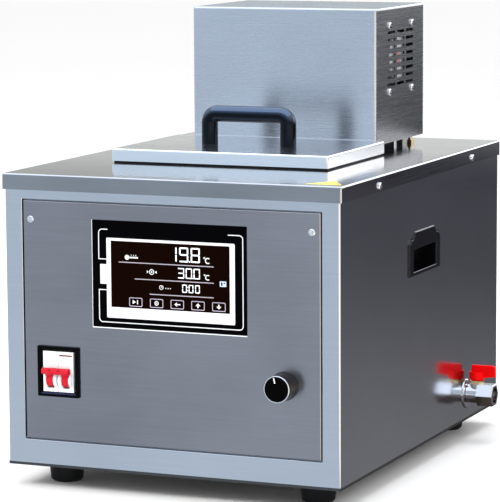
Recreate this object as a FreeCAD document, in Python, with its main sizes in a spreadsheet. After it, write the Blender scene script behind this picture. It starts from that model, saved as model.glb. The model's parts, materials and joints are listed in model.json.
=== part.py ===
import FreeCAD, Part
import math
import os
import re

import Sketcher

# A stirred, heated water bath: folded steel housing, lift-off lid, pump and fan under a raised
# cover, front controls and a drain valve. Millimetres. +Z is up, -Y is the front, and the origin
# is on the bench under the middle of the housing.

Vector = FreeCAD.Vector
Rotation = FreeCAD.Rotation

SIZES = {
    # Housing
    "body_width": 380,
    "body_depth": 514,
    "foot_height": 24,
    "pan_rim": 3,
    "deck_top": 337,
    "sheet": 1.2,
    "deck_sheet": 1.5,
    "bend_radius": 2.4,
    "rim_overhang": 2.4,
    "rim_height": 17,
    "rear_flange": 15,
    # Front panel
    "frame_side": 20,
    "opening_low": 52.5,
    "opening_high": 310.3,
    "panel_gap": 1.3,
    "panel_return": 8,
    "panel_bend": 1.5,
    "ledge_width": 16,
    "ledge_sheet": 1.5,
    "panel_screw_x": 159.4,
    "panel_screw_z": 289,
    # Display
    "overlay_width": 175,
    "overlay_low": 178.8,
    "overlay_high": 291.7,
    "overlay_sheet": 0.8,
    "overlay_corner": 0.8,
    # Circuit breaker
    "breaker_x": -128.9,
    "breaker_z": 127.7,
    "bezel_width": 48.4,
    "bezel_height": 54.1,
    "bezel_proud": 3.2,
    "bezel_lip": 1.2,
    "breaker_width": 35.4,
    "nose_height": 43.2,
    "breaker_height": 80,
    "pole_pitch": 18,
    "toggle_back": 4.5,
    "toggle_drop": 8.7,
    "toggle_barrel": 8,
    "toggle_width": 7.4,
    "slot_play": 2,
    "tie_radius": 3.5,
    "tie_length": 31.2,
    "tie_forward": 10.3,
    "tie_rise": 10,
    # Speed knob
    "knob_x": 128.5,
    "knob_z": 129.2,
    "knob_radius": 15,
    "knob_face_radius": 14,
    "knob_height": 22,
    "knob_gap": 0.6,
    "pot_shaft_radius": 3,
    "pot_bush_radius": 4.5,
    # Lid
    "lid_x": -1.9,
    "lid_y": -36.2,
    "lid_width": 253,
    "lid_depth": 175,
    "lid_top": 352.4,
    "lid_bend": 2,
    "gasket_height": 2,
    "gasket_width": 10,
    "mouth_width": 222,
    "mouth_depth": 146,
    "lip_clearance": 4,
    "grip_span": 93.5,
    "grip_offset": -0.65,
    "grip_radius": 9,
    "grip_top": 395,
    "grip_bend": 9.5,
    # Tank
    "tank_width": 250,
    "tank_front": -115,
    "tank_back": 205,
    "tank_floor": 112,
    "tank_corner": 20,
    "tank_flange": 15,
    "insulation": 18,
    "bulkhead_y": -165,
    # Motor housing
    "cover_x": 3,
    "cover_y": 132,
    "cover_width": 222.4,
    "cover_depth": 159.4,
    "cover_low": 346.5,
    "cover_top": 499,
    "cover_bend": 3,
    "fan_z": 441,
    "fan_size": 84,
    "fan_pitch": 74.5,
    "fan_depth": 25,
    "fan_hub_radius": 28,
    "slot_length": 23.6,
    "slot_gap": 6.4,
    "slot_height": 3.2,
    "slot_pitch": 8.4,
    "slot_low": 411.6,
    # Pump and heater
    "pump_x": -20,
    "motor_radius": 42,
    "shaft_radius": 4,
    "tube_radius": 20,
    "tube_low": 150,
    "heater_x": -92,
    "heater_radius": 4,
    "heater_first": 90,
    "heater_pitch": 27,
    "heater_low": 150,
    "heater_high": 290,
    "probe_x": 105.5,
    "probe_y": 191,
    # Drain
    "drain_y": 147,
    "drain_z": 54.9,
    "drain_end": 223.9,
    "drain_drop_x": 60,
    "drain_stem_x": 202.5,
    "drain_bore": 5,
    "outlet_radius": 9.3,
    "outlet_depth": 11,
    "ball_radius": 7.4,
    # Handles, feet and inlet
    "handle_y": -2.6,
    "handle_z": 240,
    "foot_x": 146,
    "foot_y": 207,
    "foot_radius": 19.5,
    "foot_tip_radius": 17.5,
    "rim_screw_front": -150.2,
    "rim_screw_back": 155.1,
    "rim_screw_z": 326,
    "inlet_x": -118,
    "inlet_z": 88,
    "clearance": 0.3,
}

# Which way a part's own +Z points once it is placed, with its +Y kept upright where it can be.
FACING = {
    "up": Rotation(),
    "down": Rotation(Vector(1, 0, 0), 180),
    "front": Rotation(Vector(1, 0, 0), 90),
    "back": Rotation(Vector(0, 0, 1), 180).multiply(Rotation(Vector(1, 0, 0), 90)),
    "right": Rotation(Vector(1, 1, 1), 120),
    "left": Rotation(Vector(0, 0, 1), 180).multiply(Rotation(Vector(1, 1, 1), 120)),
}

doc = FreeCAD.newDocument("WaterBath")
sheet = doc.addObject("Spreadsheet::Sheet", "Sizes")
nodes = []


# ---------------------------------------------------------------- spreadsheet and placement


def fill_sheet():
    for row, (alias, size) in enumerate(SIZES.items(), 1):
        sheet.set(f"A{row}", alias)
        sheet.set(f"B{row}", str(size))
        sheet.setAlias(f"B{row}", alias)
    doc.recompute()


def formula(text):
    """Point every size that a formula names at the spreadsheet."""
    return re.sub(r"[A-Za-z_]\w*", lambda word: "Sizes." + word.group(0), str(text))


def value(text):
    return float(sheet.evalExpression(formula(text)))


def bind(item, field, text):
    item.setExpression(field, formula(text))


def place(item, x="0", y="0", z="0", facing="up"):
    item.Placement = FreeCAD.Placement(Vector(), FACING[facing])
    for axis, text in zip("xyz", (x, y, z)):
        bind(item, f"Placement.Base.{axis}", text)
    return item


def node(item):
    """List an object as a sub-part that is written out under its own label."""
    nodes.append(item)
    return item


# ---------------------------------------------------------------- Part primitives


def box(label, corner, size):
    item = doc.addObject("Part::Box", label)
    for field, text in zip(("Length", "Width", "Height"), size):
        bind(item, field, text)
    return place(item, *corner)


def cylinder(label, radius, length, at, facing="up"):
    item = doc.addObject("Part::Cylinder", label)
    bind(item, "Radius", radius)
    bind(item, "Height", length)
    return place(item, *at, facing)


def cut(label, base, tools):
    tool = tools[0] if len(tools) == 1 else fuse(label + "_tools", tools)
    item = doc.addObject("Part::Cut", label)
    item.Base = base
    item.Tool = tool
    return item


def fuse(label, shapes):
    item = doc.addObject("Part::MultiFuse", label)
    item.Shapes = shapes
    return item


def copies(label, master, places):
    """A group of separate, identical solids: each place is x, y, z and the way it faces."""
    links = []
    for count, (x, y, z, facing) in enumerate(places, 1):
        link = doc.addObject("App::Link", f"{label}_{count}")
        link.LinkedObject = master
        link.LinkPlacement = FreeCAD.Placement(Vector(), FACING[facing])
        for axis, text in zip("xyz", (x, y, z)):
            bind(link, f"LinkPlacement.Base.{axis}", text)
        links.append(link)
    group = doc.addObject("Part::Compound", label)
    group.Links = links
    return group


# ---------------------------------------------------------------- PartDesign features


def new_body(label):
    return doc.addObject("PartDesign::Body", label)


def new_sketch(body, plane="XY_Plane", offset="0"):
    """A sketch on one of the body's own planes. XZ faces -Y, YZ faces +X and XY faces +Z."""
    item = body.newObject("Sketcher::SketchObject", body.Label + "_sketch")
    support = [datum for datum in body.Origin.OriginFeatures if datum.Role == plane][0]
    item.AttachmentSupport = [(support, "")]
    item.MapMode = "FlatFace"
    bind(item, "AttachmentOffset.Base.z", offset)
    return item


def pin(item, geometry, end, u, v):
    """Bind a sketch point to its distances from the sketch's origin."""
    for kind, text, axis in (("DistanceX", u, -2), ("DistanceY", v, -1)):
        distance = value(text)
        if abs(distance) < 1e-9:
            item.addConstraint(Sketcher.Constraint("PointOnObject", geometry, end, axis))
        else:
            rule = Sketcher.Constraint(kind, -1, 1, geometry, end, distance)
            index = item.addConstraint(rule)
            bind(item, f"Constraints[{index}]", text)


def polygon(item, points):
    corners = [Vector(value(u), value(v), 0) for u, v in points]
    first = item.GeometryCount
    count = len(corners)
    for index, corner in enumerate(corners):
        item.addGeometry(Part.LineSegment(corner, corners[(index + 1) % count]), False)
    for index in range(count):
        following = first + (index + 1) % count
        item.addConstraint(Sketcher.Constraint("Coincident", first + index, 2, following, 1))
    for index, (u, v) in enumerate(points):
        pin(item, first + index, 1, u, v)
    return item


def rectangle(item, low_u, low_v, high_u, high_v):
    return polygon(item, [(low_u, low_v), (high_u, low_v), (high_u, high_v), (low_u, high_v)])


def centred(item, u, v, width, height):
    return rectangle(
        item,
        f"{u} - ({width})/2",
        f"{v} - ({height})/2",
        f"{u} + ({width})/2",
        f"{v} + ({height})/2",
    )


def hexagon(item, across_flats, u="0", v="0"):
    reach = f"({across_flats})/2/0.8660254"
    points = []
    for corner in range(6):
        angle = math.radians(60 * corner)
        points.append(
            (f"{u} + {reach}*{math.cos(angle):.7f}", f"{v} + {reach}*{math.sin(angle):.7f}")
        )
    return polygon(item, points)


def circle(item, radius, u="0", v="0"):
    centre = Vector(value(u), value(v), 0)
    index = item.addGeometry(Part.Circle(centre, Vector(0, 0, 1), value(radius)), False)
    pin(item, index, 3, u, v)
    size = item.addConstraint(Sketcher.Constraint("Radius", index, value(radius)))
    bind(item, f"Constraints[{size}]", radius)
    return item


def feature(body, kind, name):
    return body.newObject("PartDesign::" + kind, f"{body.Label}_{name}")


def pad(body, profile, length, backwards=False):
    item = feature(body, "Pad", "pad")
    item.Profile = profile
    item.Reversed = backwards
    bind(item, "Length", length)
    doc.recompute()
    return item


def pocket(body, profile, length, backwards=False, both_ways=False):
    """Cut a profile out of the body, and stop if it removed nothing."""
    before = body.Shape.Volume
    item = feature(body, "Pocket", "pocket")
    item.Profile = profile
    item.Reversed = backwards
    item.Midplane = both_ways
    bind(item, "Length", length)
    doc.recompute()
    if body.Shape.Volume > before - 1e-6:
        raise RuntimeError(f"{item.Label} cuts nothing")
    return item


def turned(body, points):
    """Revolve an outline of (radius, height) points about the body's own Z axis."""
    profile = polygon(new_sketch(body, "XZ_Plane"), points)
    item = feature(body, "Revolution", "turn")
    item.Profile = profile
    item.ReferenceAxis = (profile, ["V_Axis"])
    item.Angle = 360
    doc.recompute()
    return item


def grooved(body, near_radius, low, far_radius, high):
    """Cut a ring out of a turned body, between two radii and two heights."""
    profile = new_sketch(body, "XZ_Plane")
    rectangle(profile, near_radius, low, far_radius, high)
    item = feature(body, "Groove", "groove")
    item.Profile = profile
    item.ReferenceAxis = (profile, ["V_Axis"])
    item.Angle = 360
    doc.recompute()
    return item


def edges_where(body, test):
    """Names of the straight or round edges whose middle point and direction pass a test."""
    names = []
    for index, edge in enumerate(body.Shape.Edges, 1):
        if edge.Degenerated:
            continue
        middle = edge.valueAt((edge.FirstParameter + edge.LastParameter) / 2)
        along = edge.tangentAt((edge.FirstParameter + edge.LastParameter) / 2)
        if test(middle, along):
            names.append(f"Edge{index}")
    return names


def soften(body, radius, test, kind="Fillet"):
    """Fillet or chamfer the edges that pass a test."""
    names = edges_where(body, test)
    if not names:
        raise RuntimeError(f"{body.Label}: no edge to soften")
    base = body.Tip
    item = feature(body, kind, kind.lower())
    item.Base = (base, names)
    bind(item, "Radius" if kind == "Fillet" else "Size", radius)
    doc.recompute()
    return item


def upright(along):
    return abs(along.z) > 0.999


def near(number, text):
    return abs(number - value(text)) < 0.02


def bent_path(item, points, radius):
    """A sketched run of level and upright lines, with every corner rounded to one radius."""
    corners = [Vector(value(u), value(v), 0) for u, v in points]
    bend = value(radius)
    starts, ends = list(corners[:-1]), list(corners[1:])
    for index in range(1, len(corners) - 1):
        back = (corners[index - 1] - corners[index]).normalize()
        onward = (corners[index + 1] - corners[index]).normalize()
        ends[index - 1] = corners[index] + back * bend
        starts[index] = corners[index] + onward * bend
    lines = [item.addGeometry(Part.LineSegment(a, b), False) for a, b in zip(starts, ends)]
    for index in range(1, len(corners) - 1):
        a, b = ends[index - 1], starts[index]
        centre = a + b - corners[index]
        leftward = (a - centre).cross(b - centre).z > 0
        first, last = (1, 2) if leftward else (2, 1)
        low = a if leftward else b
        low_angle = math.atan2(low.y - centre.y, low.x - centre.x)
        round_corner = Part.Circle(centre, Vector(0, 0, 1), bend)
        quarter = Part.ArcOfCircle(round_corner, low_angle, low_angle + math.pi / 2)
        arc = item.addGeometry(quarter, False)
        item.addConstraint(Sketcher.Constraint("Tangent", lines[index - 1], 2, arc, first))
        item.addConstraint(Sketcher.Constraint("Tangent", arc, last, lines[index], 1))
        size = item.addConstraint(Sketcher.Constraint("Radius", arc, bend))
        bind(item, f"Constraints[{size}]", radius)
    pin(item, lines[0], 1, *points[0])
    for index, line in enumerate(lines[1:], 1):
        level = abs(corners[index].y - corners[index + 1].y) < 1e-6
        kind, text, axis = ("DistanceY", points[index][1], -1)
        if not level:
            kind, text, axis = ("DistanceX", points[index][0], -2)
        item.addConstraint(Sketcher.Constraint("Horizontal" if level else "Vertical", line))
        distance = value(text)
        rule = Sketcher.Constraint(kind, -1, 1, line, 1, distance)
        spot = item.addConstraint(rule)
        bind(item, f"Constraints[{spot}]", text)
    level = abs(corners[0].y - corners[1].y) < 1e-6
    item.addConstraint(Sketcher.Constraint("Horizontal" if level else "Vertical", lines[0]))
    last_level = abs(corners[-1].y - corners[-2].y) < 1e-6
    kind, text = ("DistanceX", points[-1][0]) if last_level else ("DistanceY", points[-1][1])
    rule = Sketcher.Constraint(kind, -1, 1, lines[-1], 2, value(text))
    spot = item.addConstraint(rule)
    bind(item, f"Constraints[{spot}]", text)
    return item


def swept(body, profile, path):
    item = feature(body, "AdditivePipe", "pipe")
    item.Profile = profile
    item.Spine = path
    doc.recompute()
    return item


# ---------------------------------------------------------------- fasteners


def pan_screw(label, radius, length):
    """A cross-recess pan-head screw, with its seat at the origin and its head up."""
    body = new_body(label)
    head = f"2*{radius}"
    rise = f"1.15*{radius}"
    outline = [("0", f"-{length}"), (radius, f"-{length}"), (radius, "0"), (head, "0")]
    turned(body, outline + [(head, rise), ("0", rise)])
    soften(body, f"0.85*{radius}", lambda at, along: near(at.z, rise))
    arm, half = f"1.05*{radius}", f"0.2*{radius}"
    cross = polygon(
        new_sketch(body, offset=rise),
        [
            (f"-{arm}", f"-{half}"), (f"-{half}", f"-{half}"), (f"-{half}", f"-{arm}"),
            (half, f"-{arm}"), (half, f"-{half}"), (arm, f"-{half}"),
            (arm, half), (half, half), (half, arm),
            (f"-{half}", arm), (f"-{half}", half), (f"-{arm}", half),
        ],
    )
    pocket(body, cross, f"0.6*{radius}")
    return body


def rear_screw_places():
    """Three screws up each side flange of the housing's back."""
    inset = "rear_flange/2"
    columns = (f"{inset} - body_width/2", f"body_width/2 - {inset}")
    return [(x, z) for x in columns for z in ("60", "180", "300")]


# ---------------------------------------------------------------- housing sheet metal


def base_pan():
    body = new_body("base_pan")
    half_width, half_depth = "body_width/2", "body_depth/2"
    pad(body, centred(new_sketch(body, offset="foot_height"), "0", "0", "body_width", "body_depth"),
        "pan_rim")
    floor = new_sketch(body, offset="foot_height + pan_rim")
    centred(floor, "0", "0", "body_width - 12", "body_depth - 12")
    pocket(body, floor, "pan_rim - sheet")
    wall = new_sketch(body, offset="foot_height + pan_rim - sheet")
    rectangle(wall, f"3 - {half_width}", f"3 - {half_depth}", f"{half_width} - 3", f"{half_depth} - 3")
    inset = "(3 + sheet)"
    rectangle(wall, f"{inset} - {half_width}", f"{inset} - {half_depth}",
              f"{half_width} - {inset}", f"{half_depth} - {inset}")
    pad(body, wall, "12")
    holes = new_sketch(body, offset="foot_height + pan_rim")
    for x in ("foot_x", "-foot_x"):
        for y in ("foot_y", "-foot_y"):
            circle(holes, "2.7", x, y)
    for row in range(-4, 5):
        centred(holes, "0", f"{row * 14} - 190", "90", "5")
    pocket(body, holes, "2*pan_rim")
    return node(body)


def body_shell():
    body = new_body("body_shell")
    side, inner = "body_width/2", "(body_width/2 - sheet)"
    front, back = "body_depth/2", "(body_depth/2 - sheet)"
    flange = "(body_width/2 - rear_flange)"
    wrap = [
        (f"-{flange}", back), (f"-{side}", back), (f"-{side}", f"-{front}"),
        (side, f"-{front}"), (side, back), (flange, back),
        (flange, f"{back} - sheet"), (inner, f"{back} - sheet"), (inner, f"sheet - {front}"),
        (f"-{inner}", f"sheet - {front}"), (f"-{inner}", f"{back} - sheet"),
        (f"-{flange}", f"{back} - sheet"),
    ]
    bottom = "foot_height + pan_rim"
    outline = polygon(new_sketch(body, offset=bottom), wrap)
    pad(body, outline, "deck_top - deck_sheet - 0.5 - foot_height - pan_rim")
    soften(body, "bend_radius",
           lambda at, along: upright(along) and near(abs(at.x), side) and at.y < 0)
    soften(body, "bend_radius - sheet",
           lambda at, along: upright(along) and near(abs(at.x), inner)
           and near(at.y, f"sheet - {front}"))
    half = "(body_width/2 - frame_side)"
    opening = new_sketch(body, "XZ_Plane", front)
    rectangle(opening, f"-{half}", "opening_low", half, "opening_high")
    pocket(body, opening, "sheet")
    opening_return(body, half)
    side_openings(body)
    return node(body)


def opening_return(body, half):
    """The opening's folded edge, and the ledge behind it that the front panel screws to."""
    fold = new_sketch(body, "XZ_Plane", "body_depth/2")
    rectangle(fold, f"-{half} - sheet", "opening_low - sheet",
              f"{half} + sheet", "opening_high + sheet")
    rectangle(fold, f"-{half}", "opening_low", half, "opening_high")
    pad(body, fold, "panel_return + 0.2 + ledge_sheet", backwards=True)
    ledge = new_sketch(body, "XZ_Plane", "body_depth/2 - panel_return - 0.2")
    rectangle(ledge, f"-{half} - sheet/2", "opening_low - sheet/2",
              f"{half} + sheet/2", "opening_high + sheet/2")
    rectangle(ledge, f"ledge_width - {half}", "opening_low + ledge_width",
              f"{half} - ledge_width", "opening_high - ledge_width")
    pad(body, ledge, "ledge_sheet", backwards=True)
    tabs = new_sketch(body, "XZ_Plane", "body_depth/2 - panel_return - 0.2")
    for x in ("panel_screw_x", "-panel_screw_x"):
        circle(tabs, "2.2", x, "panel_screw_z")
    pocket(body, tabs, "2*ledge_sheet")
    soften(body, "0.8", lambda at, along: near(at.y, "-body_depth/2") and abs(along.y) < 0.01
           and abs(at.x) < value(f"{half} + 1")
           and value("opening_low - 1") < at.z < value("opening_high + 1"))


def side_openings(body):
    cuts = new_sketch(body, "YZ_Plane")
    for y in ("rim_screw_front", "rim_screw_back"):
        circle(cuts, "2.2", y, "rim_screw_z")
    centred(cuts, "handle_y", "handle_z - 2.4", "90", "40")
    pocket(body, cuts, "2*body_width", both_ways=True)
    drain = circle(new_sketch(body, "YZ_Plane", "body_width/2"), "10.5", "drain_y", "drain_z")
    pocket(body, drain, "2*sheet")
    back = new_sketch(body, "XZ_Plane", "-body_depth/2")
    for x, z in rear_screw_places():
        circle(back, "2.2", x, z)
    pocket(body, back, "8*sheet", both_ways=True)


def front_panel():
    body = new_body("front_panel")
    inset = "(frame_side + panel_gap)"
    low, high = "opening_low + panel_gap", "opening_high - panel_gap"
    face = new_sketch(body, "XZ_Plane", "body_depth/2")
    rectangle(face, f"{inset} - body_width/2", low, f"body_width/2 - {inset}", high)
    pad(body, face, "panel_return", backwards=True)
    soften(body, "panel_bend", lambda at, along: near(at.y, "-body_depth/2"))
    hollow = new_sketch(body, "XZ_Plane", "body_depth/2 - panel_return")
    rectangle(hollow, f"{inset} + sheet - body_width/2", low + " + sheet",
              f"body_width/2 - {inset} - sheet", high + " - sheet")
    pocket(body, hollow, "panel_return - sheet", backwards=True)
    holes = new_sketch(body, "XZ_Plane", "body_depth/2")
    rectangle(holes, "-62", "overlay_low + 18", "62", "overlay_high - 18")
    centred(holes, "breaker_x", "breaker_z", "breaker_width + 3.4", "nose_height + 3.4")
    circle(holes, "pot_bush_radius + 0.2", "knob_x", "knob_z")
    for x in ("panel_screw_x", "-panel_screw_x"):
        circle(holes, "2.2", x, "panel_screw_z")
    pocket(body, holes, "2*sheet")
    return node(body)


def rear_panel():
    body = new_body("rear_panel")
    bottom = "foot_height + pan_rim"
    plate = new_sketch(body, "XZ_Plane", "-body_depth/2")
    rectangle(plate, "-body_width/2", bottom, "body_width/2", "deck_top - deck_sheet - 0.5")
    pad(body, plate, "sheet")
    holes = new_sketch(body, "XZ_Plane", "-body_depth/2")
    centred(holes, "inlet_x", "inlet_z", "28", "21")
    for x in ("inlet_x - 20", "inlet_x + 20"):
        circle(holes, "1.7", x, "inlet_z")
    for x, z in rear_screw_places():
        circle(holes, "2.2", x, z)
    for column in ("-55", "55"):
        for row in range(7):
            centred(holes, column, f"180 + {row * 11}", "74", "4.5")
    pocket(body, holes, "2*sheet", both_ways=True)
    return node(body)


def deck_plate():
    body = new_body("deck_plate")
    width, depth = "(body_width + 2*rim_overhang)", "(body_depth + 2*rim_overhang)"
    pad(body, centred(new_sketch(body, offset="deck_top"), "0", "0", width, depth),
        "rim_height", backwards=True)
    soften(body, "bend_radius", lambda at, along: upright(along) or near(at.z, "deck_top"))
    under = new_sketch(body, offset="deck_top - rim_height")
    centred(under, "0", "0", f"{width} - 2*sheet", f"{depth} - 2*sheet")
    pocket(body, under, "rim_height - deck_sheet", backwards=True)
    holes = new_sketch(body, offset="deck_top")
    centred(holes, "lid_x", "lid_y", "mouth_width", "mouth_depth")
    circle(holes, "tube_radius + 0.4", "pump_x", "cover_y")
    circle(holes, "2.3", "probe_x", "probe_y")
    for y in ("heater_first", "heater_first + 3*heater_pitch"):
        circle(holes, "heater_radius + 0.4", "heater_x", y)
    pocket(body, holes, "2*deck_sheet")
    rim = new_sketch(body, "YZ_Plane")
    for y in ("rim_screw_front", "rim_screw_back"):
        circle(rim, "2.2", y, "rim_screw_z")
    pocket(body, rim, "2*body_width", both_ways=True)
    soften(body, "8", lambda at, along: upright(along) and abs(at.x) < value("mouth_width/2 + 3")
           and near(abs(at.y - value("lid_y")), "mouth_depth/2"))
    return node(body)


def housing_screws():
    front = pan_screw("panel_screw", "2", "13")
    y = "-body_depth/2"
    node(copies("front_panel_screws", front,
                [(x, y, "panel_screw_z", "front") for x in ("panel_screw_x", "-panel_screw_x")]))
    short = pan_screw("rim_screw", "2", "6")
    edge = "(body_width/2 + rim_overhang)"
    places = []
    for x, facing in ((edge, "right"), (f"-{edge}", "left")):
        for y in ("rim_screw_front", "rim_screw_back"):
            places.append((x, y, "rim_screw_z", facing))
    node(copies("deck_screws", short, places))
    places = [(x, "body_depth/2", z, "back") for x, z in rear_screw_places()]
    node(copies("rear_panel_screws", short, places))


# ---------------------------------------------------------------- tank


def tank():
    body = new_body("tank")
    top = "deck_top - deck_sheet"
    half = "tank_width/2"
    shell = new_sketch(body, offset="tank_floor")
    rectangle(shell, f"-{half}", "tank_front", half, "tank_back")
    pad(body, shell, f"{top} - tank_floor")
    soften(body, "tank_corner", lambda at, along: upright(along))
    soften(body, "6", lambda at, along: near(at.z, "tank_floor"))
    roof = [f"Face{index}" for index, face in enumerate(body.Shape.Faces, 1)
            if near(face.CenterOfMass.z, top)]
    solid = body.Tip
    hollow = feature(body, "Thickness", "hollow")
    hollow.Base = (solid, roof)
    bind(hollow, "Value", "sheet")
    hollow.Reversed = True
    doc.recompute()
    flange = new_sketch(body, offset=top)
    reach = f"({half} + tank_flange)"
    rectangle(flange, f"-{reach}", "tank_front - tank_flange", reach, "tank_back + tank_flange")
    rectangle(flange, f"tank_corner/2 - {half}", "tank_front + tank_corner/2",
              f"{half} - tank_corner/2", "tank_back - tank_corner/2")
    pad(body, flange, "sheet", backwards=True)
    outlet = circle(new_sketch(body, offset="tank_floor + 3"), "6.5", "drain_drop_x", "drain_y")
    pocket(body, outlet, "6")
    return node(body)


def tank_insulation():
    body = new_body("tank_insulation")
    half = "tank_width/2"
    block = new_sketch(body, offset="tank_floor - insulation")
    rectangle(block, f"-{half} - insulation", "tank_front - insulation", f"{half} + insulation",
              "tank_back + insulation")
    high = "deck_top - deck_sheet - sheet - 0.5"
    pad(body, block, f"{high} - tank_floor + insulation")
    soften(body, "tank_corner", lambda at, along: upright(along))
    cavity = new_sketch(body, offset=high)
    rectangle(cavity, f"-{half} - clearance", "tank_front - clearance", f"{half} + clearance",
              "tank_back + clearance")
    pocket(body, cavity, f"{high} - tank_floor + clearance")
    pipe = circle(new_sketch(body, offset="tank_floor"), "11", "drain_drop_x", "drain_y")
    pocket(body, pipe, "insulation + 5")
    return node(body)


def bulkhead():
    body = new_body("bulkhead")
    floor = "foot_height + sheet"
    wall = new_sketch(body, "XZ_Plane", "-bulkhead_y")
    rectangle(wall, "14 - body_width/2", floor, "body_width/2 - 14", "deck_top - deck_sheet - 1")
    pad(body, wall, "sheet", backwards=True)
    foot = new_sketch(body, offset=floor)
    rectangle(foot, "14 - body_width/2", "bulkhead_y", "body_width/2 - 14", "bulkhead_y + 16")
    pad(body, foot, "sheet")
    wires = circle(new_sketch(body, "XZ_Plane", "-bulkhead_y"), "12", "-110", "70")
    pocket(body, wires, "2*sheet", both_ways=True)
    return node(body)


# ---------------------------------------------------------------- lid


def lid():
    body = new_body("lid")
    low = "deck_top + gasket_height"
    pad(body, centred(new_sketch(body, offset=low), "lid_x", "lid_y", "lid_width", "lid_depth"),
        f"lid_top - ({low})")
    soften(body, "lid_bend", lambda at, along: upright(along) or near(at.z, "lid_top"))
    under = new_sketch(body, offset=low)
    centred(under, "lid_x", "lid_y", "lid_width - 2*sheet", "lid_depth - 2*sheet")
    pocket(body, under, f"lid_top - ({low}) - sheet", backwards=True)
    pan = new_sketch(body, offset=low)
    centred(pan, "lid_x", "lid_y", "mouth_width - 2*lip_clearance", "mouth_depth - 2*lip_clearance")
    centred(pan, "lid_x", "lid_y", "mouth_width - 2*lip_clearance - 2*sheet",
            "mouth_depth - 2*lip_clearance - 2*sheet")
    pad(body, pan, f"lid_top - ({low}) - sheet")
    holes = new_sketch(body, offset="lid_top")
    for sign in ("-", "+"):
        circle(holes, "2.3", f"lid_x + grip_offset {sign} grip_span/2", "lid_y")
    pocket(body, holes, "2*sheet")
    return node(body)


def lid_gasket():
    body = new_body("lid_gasket")
    ring = new_sketch(body, offset="deck_top")
    centred(ring, "lid_x", "lid_y", "lid_width - 3", "lid_depth - 3")
    centred(ring, "lid_x", "lid_y", "lid_width - 3 - 2*gasket_width",
            "lid_depth - 3 - 2*gasket_width")
    pad(body, ring, "gasket_height")
    soften(body, "3", lambda at, along: upright(along)
           and near(abs(at.x - value("lid_x")), "(lid_width - 3)/2"))
    return node(body)


def lid_handle():
    body = new_body("lid_handle")
    left = "lid_x + grip_offset - grip_span/2"
    right = "lid_x + grip_offset + grip_span/2"
    bar = "grip_top - grip_radius"
    foot = circle(new_sketch(body, offset="lid_top"), "grip_radius", left, "lid_y")
    path = new_sketch(body, "XZ_Plane", "-lid_y")
    bent_path(path, [(left, "lid_top"), (left, bar), (right, bar), (right, "lid_top")], "grip_bend")
    swept(body, foot, path)
    holes = new_sketch(body, offset="lid_top")
    for x in (left, right):
        circle(holes, "2.1", x, "lid_y")
    pocket(body, holes, "14", backwards=True)
    node(body)
    screw = pan_screw("grip_screw", "2", "12")
    places = [(x, "lid_y", "lid_top - sheet", "down") for x in (left, right)]
    return node(copies("lid_handle_screws", screw, places))


# ---------------------------------------------------------------- motor housing


def motor_cover():
    body = new_body("motor_cover")
    footprint = new_sketch(body, offset="cover_low")
    centred(footprint, "cover_x", "cover_y", "cover_width", "cover_depth")
    pad(body, footprint, "cover_top - cover_low")
    soften(body, "cover_bend", lambda at, along: upright(along) or near(at.z, "cover_top"))
    under = new_sketch(body, offset="cover_low")
    centred(under, "cover_x", "cover_y", "cover_width - 2*sheet", "cover_depth - 2*sheet")
    pocket(body, under, "cover_top - cover_low - sheet", backwards=True)
    right = "cover_x + cover_width/2"
    fan = new_sketch(body, "YZ_Plane", right)
    for sy in ("-", "+"):
        for sz in ("-", "+"):
            circle(fan, "2.2", f"cover_y {sy} fan_pitch/2", f"fan_z {sz} fan_pitch/2")
    pocket(body, fan, "2*sheet")
    row = new_sketch(body, "YZ_Plane", right)
    for column in (-1, 0, 1):
        middle = f"cover_y + {column}*(slot_length + slot_gap)"
        centred(row, middle, "slot_low", "slot_length", "slot_height")
    slots = pocket(body, row, "2*sheet")
    grille = feature(body, "LinearPattern", "grille")
    grille.Originals = [slots]
    grille.Direction = (row, ["V_Axis"])
    bind(grille, "Length", "7*slot_pitch")
    grille.Occurrences = 8
    body.Tip = grille
    doc.recompute()
    back = new_sketch(body, "XZ_Plane", "-cover_y - cover_depth/2")
    for sign in ("-", "+"):
        circle(back, "1.7", f"cover_x {sign} 80", "cover_low + 8")
    pocket(body, back, "4*sheet", both_ways=True)
    node(body)
    screw = pan_screw("cover_screw", "1.5", "5")
    edge = "cover_y + cover_depth/2"
    places = [(f"cover_x {sign} 80", edge, "cover_low + 8", "back") for sign in "-+"]
    return node(copies("motor_cover_screws", screw, places))


def pump_base_plate():
    body = new_body("pump_base_plate")
    width, depth = "(cover_width - 2*sheet - 0.6)", "(cover_depth - 2*sheet - 0.6)"
    pad(body, centred(new_sketch(body, offset="cover_low"), "cover_x", "cover_y", width, depth), "14")
    tray = new_sketch(body, offset="cover_low + 14")
    centred(tray, "cover_x", "cover_y", f"{width} - 2*deck_sheet", f"{depth} - 2*deck_sheet")
    pocket(body, tray, "14 - 2*deck_sheet")
    holes = new_sketch(body, offset="cover_low + 14")
    circle(holes, "13", "pump_x", "cover_y")
    circle(holes, "3.5", "probe_x", "probe_y")
    for y in ("heater_first", "heater_first + 3*heater_pitch"):
        circle(holes, "8.5", "heater_x", y)
    for sign in ("-", "+"):
        circle(holes, "4", f"cover_x + 60 {sign} 8", "cover_y - 60")
    pocket(body, holes, "20")
    back = new_sketch(body, "XZ_Plane", "-cover_y - cover_depth/2")
    for sign in ("-", "+"):
        circle(back, "1.7", f"cover_x {sign} 80", "cover_low + 8")
    pocket(body, back, "12", both_ways=True)
    return node(body)


def base_plate_posts():
    """Hexagonal stand-offs that hold the motor housing clear of the deck."""
    body = new_body("post")
    pad(body, hexagon(new_sketch(body), "12"), "cover_low - deck_top")
    places = []
    for sx in "-+":
        for sy in "-+":
            places.append((f"cover_x {sx} 88", f"cover_y {sy} 68", "deck_top", "up"))
    return node(copies("base_plate_posts", body, places))


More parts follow.
